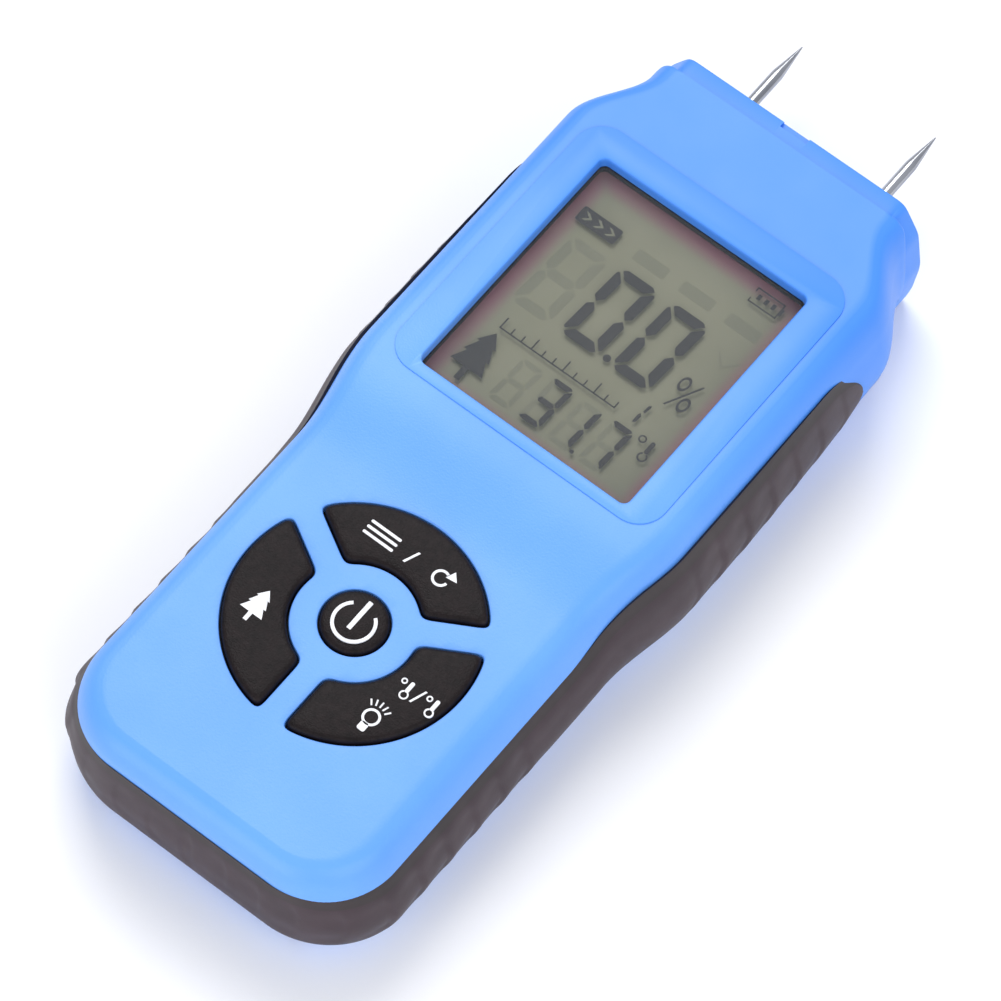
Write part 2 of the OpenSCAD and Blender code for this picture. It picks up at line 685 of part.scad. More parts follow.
// pins and what holds them
seat_end_v = case_len + seat_len;
end_wall_v = case_len - wall;
block_start_v = end_wall_v - 0.2 - block_len;
block_half_h = 5;
block_half_w = pin_pitch / 2 + bush_r + 2;
block_low = pin_z - block_half_h;
block_top = pin_z + block_half_h;
module at_bushes(v) {
    translate([0, y0 + v, 0]) at_pins() children();
}
module block_ribs(low, high) {
    for (s = [-1, 1]) translate([s * 8 - 1, y0 + block_start_v, low]) cube([2, block_len, high - low]);
}
bush_flange_r = bush_r + 0.9;
module pin_block() {
    color([0.1, 0.1, 0.11]) difference() {
        translate([-block_half_w, y0 + block_start_v, block_low])
            cube([2 * block_half_w, block_len, 2 * block_half_h]);
        at_bushes(block_start_v - 1) cylinder(r = bush_r, h = block_len + 2);
        at_bushes(block_start_v - 1) cylinder(r = bush_flange_r, h = 3);
        // pocket that saves material between the bushes
        translate([-6, y0 + block_start_v - 1, block_low + 2])
            cube([12, block_len - 2, 2 * block_half_h - 4]);
    }
}
module pin_bushes() {
    color("goldenrod") difference() {
        union() {
            at_bushes(block_start_v) cylinder(r = bush_r, h = seat_end_v - block_start_v);
            at_bushes(block_start_v) cylinder(r = bush_flange_r, h = 2);
        }
        at_bushes(seat_end_v - thread_len) cylinder(r = pin_thread_r, h = thread_len + 1);
    }
}
module pin(s) {
    color("silver") translate([s * pin_pitch / 2, y0 + seat_end_v - thread_len, pin_z]) rotate([-90, 0, 0]) {
        cylinder(r = pin_thread_r, h = thread_len);
        translate([0, 0, thread_len - eps]) cylinder(r = pin_r, h = pin_out - pin_point + eps);
        translate([0, 0, thread_len + pin_out - pin_point]) cylinder(r1 = pin_r, r2 = 0.1, h = pin_point);
    }
}
module left_pin() pin(-1);
module right_pin() pin(1);
module pin_leads() {
    color("black") for (s = [-1, 1])
        swept_wire([for (p = [[0, 0, 0], [0, -1.6, 0], [0.3, -3, 0.4], [0.8, -4.4, 1.6], [1.2, -5, 3],
                [1.2, -5, board_low - pin_z]])
            [s * (pin_pitch / 2 - p[0]), y0 + block_start_v + p[1], pin_z + p[2]]], 0.6, 8);
}

front_cover();
rear_case();
side_grip();
battery_door();
window_lens();
window_gasket();
lcd_glass();
lcd_frame();
light_guide();
backlight_leds();
zebra_strip();
mode_key();
species_key();
unit_key();
power_key();
keypad_mat();
snap_domes();
main_board();
controller_chip();
buzzer();
board_parts();
temperature_sensor();
board_screws();
case_screws();
cells();
contact_plates();
contact_springs();
battery_leads();
pin_block();
pin_bushes();
left_pin();
right_pin();
pin_leads();
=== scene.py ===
"""Looks of a handheld pin moisture meter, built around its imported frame.

Lengths are in millimetres until a piece is made, and +Y runs from the handle to the pins.
"""
import logging
import math
from dataclasses import dataclass, field
from enum import Enum
from functools import partial
from typing import Callable, Iterable, Sequence

import bpy
import numpy as np
from mathutils import Matrix, Vector


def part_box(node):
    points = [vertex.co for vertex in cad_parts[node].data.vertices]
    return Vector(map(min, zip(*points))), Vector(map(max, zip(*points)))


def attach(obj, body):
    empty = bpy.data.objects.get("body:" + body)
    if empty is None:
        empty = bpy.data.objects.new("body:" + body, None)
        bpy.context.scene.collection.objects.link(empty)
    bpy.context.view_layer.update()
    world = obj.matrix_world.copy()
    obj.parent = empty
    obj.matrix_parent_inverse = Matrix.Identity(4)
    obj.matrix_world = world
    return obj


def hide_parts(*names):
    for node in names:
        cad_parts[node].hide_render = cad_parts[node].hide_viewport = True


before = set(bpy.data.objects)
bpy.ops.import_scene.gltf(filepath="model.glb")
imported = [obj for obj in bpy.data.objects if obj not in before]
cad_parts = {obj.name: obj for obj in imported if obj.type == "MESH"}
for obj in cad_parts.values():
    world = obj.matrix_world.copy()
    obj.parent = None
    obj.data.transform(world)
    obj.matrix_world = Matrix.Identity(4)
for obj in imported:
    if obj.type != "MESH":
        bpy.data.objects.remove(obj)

log = logging.getLogger("moisture_meter")
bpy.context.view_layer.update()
MM = 0.001

Point = Sequence[float]
Outline = np.ndarray
Source = tuple[bpy.types.Node, str | int]


# ---------------------------------------------------------------- finishes

def linear(code: str) -> tuple[float, float, float, float]:
    """Turns an sRGB hex colour into linear light.

    Args:
        code: Colour such as "#4f9df2".

    Returns:
        Red, green, blue and alpha.
    """
    parts = [int(code[i:i + 2], 16) / 255 for i in (1, 3, 5)]
    return (*[c / 12.92 if c <= 0.04045 else ((c + 0.055) / 1.055) ** 2.4 for c in parts], 1.0)


def add_node(tree: bpy.types.NodeTree, kind: str, settings: dict | None = None,
             links: dict | None = None) -> bpy.types.Node:
    """Adds one node with its settings and its incoming links.

    Args:
        tree: Node tree that takes the node.
        kind: Blender's type name of the node.
        settings: Values by attribute name, or by input name or number.
        links: Pairs of node and output, by input name or number.

    Returns:
        The new node.
    """
    node = tree.nodes.new(kind)
    for key, value in (settings or {}).items():
        if isinstance(key, str) and hasattr(node, key):
            setattr(node, key, value)
        else:
            node.inputs[key].default_value = value
    for key, (source, output) in (links or {}).items():
        tree.links.new(source.outputs[output], node.inputs[key])
    return node


def noise(tree: bpy.types.NodeTree, place: bpy.types.Node, size: float, detail: float) -> Source:
    """Makes soft noise.

    Args:
        tree: The material's tree.
        place: Node that gives the coordinates.
        size: Size of the noise's lumps.
        detail: How many finer layers it has.

    Returns:
        The noise.
    """
    return add_node(tree, "ShaderNodeTexNoise", {"Scale": 1 / (size * MM), "Detail": detail},
                    {"Vector": (place, "Vector")}), 0


def remap(tree: bpy.types.NodeTree, value: Source, start: tuple = (0, 1), end: tuple = (0, 1),
          kind: str = "LINEAR") -> Source:
    """Takes a value from one range to another.

    Args:
        tree: The material's tree.
        value: Value to change.
        start: Range that it comes from.
        end: Range that it goes to.
        kind: LINEAR or SMOOTHSTEP.

    Returns:
        The changed value.
    """
    return add_node(tree, "ShaderNodeMapRange",
                    {"interpolation_type": kind, "From Min": start[0], "From Max": start[1],
                     "To Min": end[0], "To Max": end[1]}, {"Value": value}), "Result"


def maths(tree: bpy.types.NodeTree, operation: str, first: Source,
          second: Source | float = 0.0) -> Source:
    """Works out one operation on a value and a second value or a number.

    Args:
        tree: The material's tree.
        operation: Blender's name of the operation.
        first: First value.
        second: Second value, or a number.

    Returns:
        The result.
    """
    settings, links = {"operation": operation}, {0: first}
    (links if isinstance(second, tuple) else settings)[1] = second
    return add_node(tree, "ShaderNodeMath", settings, links), 0


def blend(tree: bpy.types.NodeTree, share: Source, first: Source | str, second: str) -> Source:
    """Mixes two colours.

    Args:
        tree: The material's tree.
        share: Share of the second colour.
        first: First colour, as a value or a code.
        second: Code of the second colour.

    Returns:
        The mixed colour.
    """
    settings, links = {"data_type": "RGBA", 7: linear(second)}, {0: share}
    if isinstance(first, str):
        settings[6] = linear(first)
    else:
        links[6] = first
    return add_node(tree, "ShaderNodeMix", settings, links), 2


@dataclass(frozen=True)
class Finish:
    """A moulded, drawn or coated surface, with its colour drift, grain, wear and painted light.

    mottle_mm is the size of its colour drift, grain_mm the size of its texture and grain_depth
    the height of that texture. stretch gives a drawn or ground surface its direction. The edge
    colour is that of rubbed edges, and on the grip's crests it is a painted highlight. fade is the
    stretch of Y over which the texture dies out and the colour turns darker: a painted shade on
    the smooth head against the paler textured handle.
    """

    name: str
    slot: str
    colour: str
    tint: str
    roughness: float = 0.5
    gloss_drift: float = 0.06
    metallic: float = 0.0
    ior: float = 1.5
    mottle_mm: float = 6.0
    grain_mm: float = 0.3
    grain_depth: float = 0.02
    stretch: tuple[float, float, float] = (1, 1, 1)
    wear_and_highlight: str = ""
    alpha: float = 1.0
    specular: float = 0.5
    fade: tuple[float, float] | None = None
    painted_head_shade: str = ""

    def progress(self, tree: bpy.types.NodeTree, place: bpy.types.Node) -> Source:
        """Returns the value that runs from 0 to 1 over the fade."""
        where = add_node(tree, "ShaderNodeSeparateXYZ", links={0: (place, "Vector")})
        return remap(tree, (where, "Y"), (self.fade[0] * MM, self.fade[1] * MM))

    def paint(self, tree: bpy.types.NodeTree, place: bpy.types.Node) -> Source:
        """Colours the surface.

        Args:
            tree: The material's tree.
            place: Node that gives the coordinates.

        Returns:
            The colour.
        """
        spread = remap(tree, noise(tree, place, self.mottle_mm, 5.0), (0.35, 0.65))
        mixed = blend(tree, spread, self.colour, self.tint)
        # Painted shade: the colour darkens towards the smooth head, against the paler textured handle.
        if self.fade:
            mixed = blend(tree, self.progress(tree, place), mixed, self.painted_head_shade)
        # Sharp edges turn lighter by pointiness: rubbed wear, and on the grip's crests a painted highlight.
        if not self.wear_and_highlight:
            return mixed
        shape = add_node(tree, "ShaderNodeNewGeometry")
        edge = remap(tree, (shape, "Pointiness"), (0.53, 0.62), (0, 0.55))
        return blend(tree, maths(tree, "MULTIPLY", edge, spread), mixed, self.wear_and_highlight)

    def relief(self, tree: bpy.types.NodeTree, place: bpy.types.Node) -> Source:
        """Gives the surface its fine texture.

        Args:
            tree: The material's tree.
            place: Node that gives the coordinates.

        Returns:
            The bumped normal.
        """
        height = noise(tree, place, self.grain_mm, 3.0)
        if self.fade:
            strength = remap(tree, self.progress(tree, place), end=(1.0, 0.15))
            height = maths(tree, "MULTIPLY", height, strength)
        return add_node(tree, "ShaderNodeBump",
                        {"Strength": 0.9, "Distance": self.grain_depth * MM}, {"Height": height}), "Normal"

    def material(self) -> bpy.types.Material:
        """Returns this finish's material, made on first use."""
        made = bpy.data.materials.get(self.name)
        if made:
            return made
        made = bpy.data.materials.new(self.name)
        made.use_nodes = True
        tree = made.node_tree
        shader = tree.nodes["Principled BSDF"]
        where = add_node(tree, "ShaderNodeTexCoord")
        place = add_node(tree, "ShaderNodeMapping", {"Scale": self.stretch}, {"Vector": (where, "Object")})
        gloss = noise(tree, place, self.mottle_mm * 0.4, 4.0)
        around = (self.roughness - self.gloss_drift, self.roughness + self.gloss_drift)
        for socket, (node, output) in (("Base Color", self.paint(tree, place)),
                                       ("Roughness", remap(tree, gloss, end=around)),
                                       ("Normal", self.relief(tree, place))):
            tree.links.new(node.outputs[output], shader.inputs[socket])
        for socket, value in (("Metallic", self.metallic), ("IOR", self.ior), ("Alpha", self.alpha),
                              ("Specular IOR Level", self.specular)):
            shader.inputs[socket].default_value = value
        made.diffuse_color = linear(self.colour)
        return made


@dataclass(frozen=True)
class Reflector(Finish):
    """The lit rear polariser of a liquid crystal display: olive grey, with a rosy rim."""

    rim: str = "#80525c"
    rim_w: float = 3.2
    centre: tuple[float, float] = (0, 0)
    half: tuple[float, float] = (19, 22)

    def paint(self, tree: bpy.types.NodeTree, place: bpy.types.Node) -> Source:
        """Adds the rosy rim to the drifting olive grey.

        Args:
            tree: The material's tree.
            place: Node that gives the coordinates.

        Returns:
            The colour.
        """
        where = add_node(tree, "ShaderNodeSeparateXYZ", links={0: (place, "Vector")})
        rims = []
        for axis, middle, half in zip("XY", self.centre, self.half):
            far = maths(tree, "ABSOLUTE", maths(tree, "SUBTRACT", (where, axis), middle * MM))
            rims.append(remap(tree, far, ((half - self.rim_w) * MM, half * MM), kind="SMOOTHSTEP"))
        soft = remap(tree, noise(tree, place, 9, 2.0), (0.2, 0.7), (0.65, 1))
        share = maths(tree, "MULTIPLY", maths(tree, "MAXIMUM", rims[0], rims[1]), soft)
        return blend(tree, share, super().paint(tree, place), self.rim)


# Injection-moulded ABS: a satin sky blue, lightly spark-textured on the handle and smooth on the head, with
# painted shade darkening the head against the paler handle
BLUE_ABS = Finish("moulded_abs_satin", "blue_abs", "#5a99ef", "#629ff2", 0.44, 0.05, grain_mm=0.34,
                  grain_depth=0.04, mottle_mm=22, fade=(0, 40), painted_head_shade="#4188e8", wear_and_highlight="#7db6f6")
# Overmoulded thermoplastic rubber: brown black, dull, with a painted grey highlight on its crests
GRIP_RUBBER = Finish("overmoulded_tpe", "grip_rubber", "#33262d", "#3a2c33", 0.5, 0.08, specular=0.4,
                     grain_mm=0.5, grain_depth=0.012, mottle_mm=7, wear_and_highlight="#5c4e56")
# The same rubber with painted shade: darker along the upper ledge
SHADED_LEDGE_RUBBER = Finish("ledge_tpe_painted_shade", "grip_rubber", "#231a1c", "#2b2023", 0.5, 0.06, grain_mm=0.5,
                      grain_depth=0.008, mottle_mm=7)
# Spark-eroded key caps in ABS: nearly black, with a coarse glitter of small facets
KEY_ABS = Finish("spark_eroded_abs", "key_plastic", "#100a0b", "#1a1213", 0.46, 0.12, specular=0.16,
                 grain_mm=0.28, grain_depth=0.11, mottle_mm=1.2, wear_and_highlight="#4a3d3a")
# Pad-printed ink: a chalky white with thin places
WHITE_INK = Finish("pad_printed_ink", "key_plastic", "#f4f4f6", "#d9dade", 0.6, mottle_mm=0.8)
# Cast acrylic: clear, with the faint haze of handling
CLEAR_ACRYLIC = Finish("cast_acrylic", "clear_lens", "#e9f1f2", "#dde8ea", 0.08, 0.03, ior=1.49,
                       alpha=0.03, specular=0.25, grain_mm=4, grain_depth=0.001)
# Die-cut closed-cell foam: matt black
BLACK_FOAM = Finish("closed_cell_foam", "black_foam", "#101113", "#181a1d", 0.85, grain_mm=0.25,
                    grain_depth=0.03)
# Switched-on liquid crystal: flat warm black
LCD_INK = Finish("liquid_crystal_on", "lcd_glass", "#120f13", "#181418", 0.5, specular=0.15,
                 grain_mm=0.4, grain_depth=0.002)
# Switched-off liquid crystal: a faint grey ghost over the olive
LCD_GHOST = Finish("liquid_crystal_off", "lcd_glass", "#656553", "#626251", 0.6, specular=0.15,
                   grain_mm=0.4, grain_depth=0.002)
# Polished and ground carbon steel: bright, with fine lengthwise scratches
PIN_STEEL = Finish("ground_steel", "pin_steel", "#b9bbc0", "#8f9197", 0.2, 0.1, metallic=1.0,
                   mottle_mm=1.5, grain_mm=0.5, grain_depth=0.006, stretch=(1, 0.08, 1))
# Machined brass: yellow, with fine turning marks
BRASS = Finish("machined_brass", "bush_brass", "#c29a4a", "#a9823c", 0.3, metallic=1.0, mottle_mm=2,
               grain_depth=0.008, stretch=(1, 4, 1))
# Nickel-plated spring steel: pale, slightly milky
NICKEL = Finish("nickel_plated_steel", "nickel_steel", "#c9c6bd", "#b3b0a8", 0.28, metallic=1.0,
                mottle_mm=2, grain_mm=0.4, grain_depth=0.006)
# Black-oxide screw steel: dark grey with rubbed edges
SCREW_STEEL = Finish("black_oxide_steel", "nickel_steel", "#55565a", "#3d3e42", 0.36, metallic=1.0,
                     mottle_mm=1, grain_depth=0.01, wear_and_highlight="#9a9a9c")
# Solder-masked glass epoxy: deep green under a glossy lacquer
BOARD = Finish("solder_masked_epoxy", "circuit_board", "#14512f", "#1b6238", 0.3, mottle_mm=2.5,
               grain_mm=0.6)
# Glass-filled black plastic: dull, with a slight fibre texture
BLACK_PLASTIC = Finish("glass_filled_plastic", "black_plastic", "#17181a", "#202225", mottle_mm=2)
# Fired ceramic: warm tan, satin
CERAMIC = Finish("fired_ceramic", "ceramic_parts", "#a58c68", "#927a58", 0.45, mottle_mm=0.7)
# Opaque white polycarbonate: bright, satin
WHITE_PC = Finish("white_polycarbonate", "white_plastic", "#e4e5e2", "#d8dad6", 0.4, mottle_mm=5,
                  grain_mm=0.4)
# Frosted acrylic light guide: milky
GUIDE = Finish("frosted_acrylic", "light_guide", "#e8ebe2", "#dde2d6", 0.3, mottle_mm=3)
# Cast silicone: soft, slightly translucent grey
GREY_SILICONE = Finish("cast_silicone", "keypad_silicone", "#5c5f62", "#66696c", 0.6, mottle_mm=4,
                       grain_mm=0.4)
# Layered conductive silicone: pink with a dull skin
PINK_SILICONE = Finish("layered_silicone", "connector_silicone", "#c07880", "#a9656d", 0.6,
                       mottle_mm=0.8, grain_mm=0.4)
# Shrink film over zinc cans: glossy charcoal, with a copper band at the button end
CELL_FILM = Finish("shrink_film", "cell_jacket", "#26282c", "#2e3136", 0.28, mottle_mm=4,
                   grain_mm=0.8, grain_depth=0.01)
CELL_BAND = Finish("copper_shrink_film", "cell_jacket", "#b8743a", "#a5652f", 0.26, mottle_mm=4,
                   grain_mm=0.8, grain_depth=0.01)
# Extruded PVC insulation: red or black, with a soft sheen
WIRE_RED = Finish("red_pvc", "wire_jacket", "#a3221d", "#b32b25", 0.4, mottle_mm=2, grain_mm=0.4,
                  grain_depth=0.005)
WIRE_BLACK = Finish("black_pvc", "wire_jacket", "#16171a", "#1e2023", 0.4, mottle_mm=2, grain_mm=0.4,
                    grain_depth=0.005)


# ---------------------------------------------------------------- mesh work

def ease(value: float, start: float, length: float) -> float:
    """Returns a smooth step from 0 at start to 1 a length further on."""
    t = min(1.0, max(0.0, (value - start) / length))
    return t * t * (3 - 2 * t)


def blend_rows(rows: Sequence[Point], steps: int) -> np.ndarray:
    """Runs a smooth curve through rows of numbers.

    Args:
        rows: Rows that the curve passes through.
        steps: New rows from each row to the next.

    Returns:
        The rows on the curve, ends included.
    """
    p = np.array(rows, float)
    p = np.vstack([2 * p[0] - p[1], p, 2 * p[-1] - p[-2]])
    out = []
    for i in range(1, len(p) - 2):
        for t in np.arange(steps) / steps:
            out.append(0.5 * (2 * p[i] + (p[i + 1] - p[i - 1]) * t
                              + (2 * p[i - 1] - 5 * p[i] + 4 * p[i + 1] - p[i + 2]) * t ** 2
                              + (3 * p[i] - p[i - 1] - 3 * p[i + 1] + p[i + 2]) * t ** 3))
    return np.array(out + [p[-2]])


def densify(corners: Sequence[Point], spacing: float, rounds: int) -> Outline:
    """Splits a closed outline into short edges and softens its corners.

    Args:
        corners: Corners of the outline.
        spacing: Longest edge of the result.
        rounds: Smoothing passes; more passes give rounder corners.

    Returns:
        Points of the softened outline.
    """
    out = []
    for a, b in zip(corners, [*corners[1:], corners[0]]):
        a, b = np.array(a, float), np.array(b, float)
        count = max(1, int(round(np.linalg.norm(b - a) / spacing)))
        out += [a + (b - a) * k / count for k in range(count)]
    p = np.array(out)
    for _ in range(rounds):
        p = (np.roll(p, 1, 0) + 2 * p + np.roll(p, -1, 0)) / 4
    return p


def arc(centre: Point, radius: float, start: float, end: float,
        count: int) -> list[tuple[float, float]]:
    """Walks along an arc.

    Args:
        centre: Centre of the arc.
        radius: Radius.
        start: Angle of the first point, in degrees.
        end: Angle of the last point, in degrees.
        count: Steps between the two.

    Returns:
        The points, ends included.
    """
    angles = [math.radians(start + (end - start) * k / count) for k in range(count + 1)]
    return [(centre[0] + radius * math.cos(a), centre[1] + radius * math.sin(a)) for a in angles]


def rounded_box(w: float, l: float, r: float, centre: Point = (0, 0), count: int = 8) -> Outline:
    """Draws a rectangle with round corners.

    Args:
        w: Width.
        l: Length.
        r: Radius of the corners.
        centre: Middle of the rectangle.
        count: Steps round each corner.

    Returns:
        The outline, anticlockwise.
    """
    points = []
    for sx, sy, start in ((1, -1, -90), (1, 1, 0), (-1, 1, 90), (-1, -1, 180)):
        middle = (centre[0] + sx * (w / 2 - r), centre[1] + sy * (l / 2 - r))
        points += arc(middle, r, start, start + 90, count)
    return np.array(points)


@dataclass
class Solid:
    """A closed mesh under construction, in millimetres."""

    points: list = field(default_factory=list)
    faces: list = field(default_factory=list)
    slots: list = field(default_factory=list)

    def add(self, points: Iterable[Point], faces: Iterable[Sequence[int]], slot: int = 0) -> None:
        """Adds a mesh in one material slot.

        Args:
            points: Points of the mesh.
            faces: Numbers of each face's points, counted from this mesh's first.
            slot: Material slot.
        """
        start = len(self.points)
        self.points += [tuple(p) for p in points]
        for face in faces:
            self.faces.append(tuple(start + i for i in face))
            self.slots.append(slot)

    def loft(self, rings: Sequence[np.ndarray], slot: int = 0) -> None:
        """Joins equal rings and closes both ends.

        Args:
            rings: Rings, lowest first and anticlockwise.
            slot: Material slot.
        """
        n, k = len(rings[0]), len(rings)
        sides = [(j * n + i, j * n + (i + 1) % n, (j + 1) * n + (i + 1) % n, (j + 1) * n + i)
                 for j in range(k - 1) for i in range(n)]
        ends = [tuple(range(n - 1, -1, -1)), tuple((k - 1) * n + i for i in range(n))]
        self.add(np.vstack(rings), sides + ends, slot)

    def stack(self, outline: Callable[[float], Iterable[Point]], steps: Sequence[Point]) -> None:
        """Raises an outline that grows and shrinks from level to level.

        Args:
            outline: Gives the anticlockwise outline for a growth.
            steps: Height and growth of each level, lowest first.
        """
        self.loft([np.array([(x, y, z) for x, y in outline(grow)]) for z, grow in steps])

    def prism(self, outline: Sequence[Point], low: float, high: float) -> None:
        """Raises an anticlockwise outline between two heights."""
        self.stack(lambda grow: outline, [(low, 0), (high, 0)])

    def ring(self, centre: Point, outer: float, inner: float, low: float, high: float,
             start: float = 0, end: float = 360) -> None:
        """Raises a flat ring, or an open arc of one.

        Args:
            centre: Centre of the ring.
            outer: Outer radius.
            inner: Inner radius.
            low: Height of the underside.
            high: Height of the top.
            start: Angle of the arc's first end, in degrees.
            end: Angle of its other end, in degrees.
        """
        count = max(10, int(abs(end - start) / 9))
        closed = abs(end - start) >= 360
        rims = [arc(centre, r, start, end, count)[:count if closed else None] for r in (outer, inner)]
        n = len(rims[0])
        flat = rims[0] + rims[1]
        points = [(x, y, z) for z in (low, high) for x, y in flat]
        faces = []
        for i in range(n if closed else n - 1):
            a, b = i, (i + 1) % n
            c, d, up = n + b, n + a, 2 * n
            faces += [(a + up, b + up, c + up, d + up), (d, c, b, a),
                      (a, b, b + up, a + up), (c, d, d + up, c + up)]
        if not closed:
            last = n - 1
            faces += [(n, 0, 2 * n, 3 * n), (last, n + last, 3 * n + last, 2 * n + last)]
        self.add(points, faces)

    def box(self, low: Point, high: Point) -> None:
        """Adds a box between two corners."""
        (x0, y0, z0), (x1, y1, z1) = low, high
        self.prism([(x0, y0), (x1, y0), (x1, y1), (x0, y1)], z0, z1)

    def lathe(self, profile: Sequence[Point], base: Point, along: Point, sides: int = 48,
              slot: int = 0) -> None:
        """Turns a profile of radius and distance about an axis.

        Args:
            profile: Radius and distance along the axis, both ends at a small radius.
            base: Point that the axis starts from.
            along: Direction of the axis.
            sides: Steps round the axis.
            slot: Material slot.
        """
        turn = Vector((0, 0, 1)).rotation_difference(Vector(along)).to_matrix()
        self.loft([np.array([Vector(base) + turn @ Vector((x, y, h))
                             for x, y in arc((0, 0), r, 0, 360, sides)[:-1]]) for r, h in profile], slot)

    def piece(self, name: str, finishes: Sequence[Finish], sharp: float = 32) -> bpy.types.Object:
        """Makes the mesh object in metres.

        Args:
            name: Name of the piece.
            finishes: Finish of each material slot.
            sharp: Angle in degrees above which an edge stays crisp.

        Returns:
            The new object, at the origin.
        """
        mesh = bpy.data.meshes.new(name)
        mesh.from_pydata([[c * MM for c in p] for p in self.points], [], self.faces)
        mesh.polygons.foreach_set("material_index", self.slots)
        for finish in finishes:
            mesh.materials.append(finish.material())
        made = bpy.data.objects.new(name, mesh)
        bpy.context.scene.collection.objects.link(made)
        crisp(made, sharp)
        return made


def crisp(piece: bpy.types.Object, angle: float) -> None:
    """Shades a piece smooth, with crisp edges above an angle in degrees."""
    piece.data.polygons.foreach_set("use_smooth", [True] * len(piece.data.polygons))
    piece.data.set_sharp_from_angle(angle=math.radians(angle))
    piece.data.update()


def settle(piece: bpy.types.Object) -> bpy.types.Object:
    """Turns a piece's modifiers into plain mesh and removes them.

    Args:
        piece: Piece with modifiers.

    Returns:
        The piece.
    """
    bpy.context.view_layer.update()
    evaluated = piece.evaluated_get(bpy.context.evaluated_depsgraph_get())
    mesh = bpy.data.meshes.new_from_object(evaluated)
    piece.modifiers.clear()
    piece.data = mesh
    mesh.name = piece.name
    return piece


def combine(piece: bpy.types.Object, tool: Solid, operation: str, sharp: float = 32) -> bpy.types.Object:
    """Cuts a tool out of a piece, or welds it on.

    Args:
        piece: Piece that is worked on.
        tool: Solid to cut or weld with.
        operation: DIFFERENCE or UNION.
        sharp: Angle in degrees above which an edge stays crisp.

    Returns:
        The piece.
    """
    cutter = tool.piece(piece.name + "_tool", [])
    change = piece.modifiers.new("work", "BOOLEAN")
    change.operation, change.object, change.solver = operation, cutter, "MANIFOLD"
    settle(piece)
    bpy.data.objects.remove(cutter)
    crisp(piece, sharp)
    return piece


def hand_over(piece: bpy.types.Object, body: str, slot: str, *nodes: str) -> bpy.types.Object:
    """Gives a piece its body, hides the CAD nodes that it stands for, and reports it.

    Args:
        piece: Finished piece.
        body: Body that it rides on.
        slot: Slot of its looks; not used.
        nodes: CAD nodes that it stands for.

    Returns:
        The piece.
    """
    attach(piece, body)
    if nodes:
        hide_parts(*nodes)
    log.info("piece %s: %d faces, rides on %s", piece.name, len(piece.data.polygons), body)
    return piece


def dress_node(node: str, finish: Finish) -> None:
    """Gives a CAD node that stays its finish, and reports it."""
    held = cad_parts[node]
    held.data.materials.clear()
    held.data.materials.append(finish.material())
    log.info("node %s: %s", node, finish.name)


# ---------------------------------------------------------------- case

def corner(node: str, high: bool) -> Vector:
    """Returns a CAD node's lowest or highest corner in millimetres."""
    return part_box(node)[int(high)] / MM


def middle(node: str) -> Vector:
    """Returns the middle of a CAD node's box in millimetres."""
    return (corner(node, False) + corner(node, True)) / 2


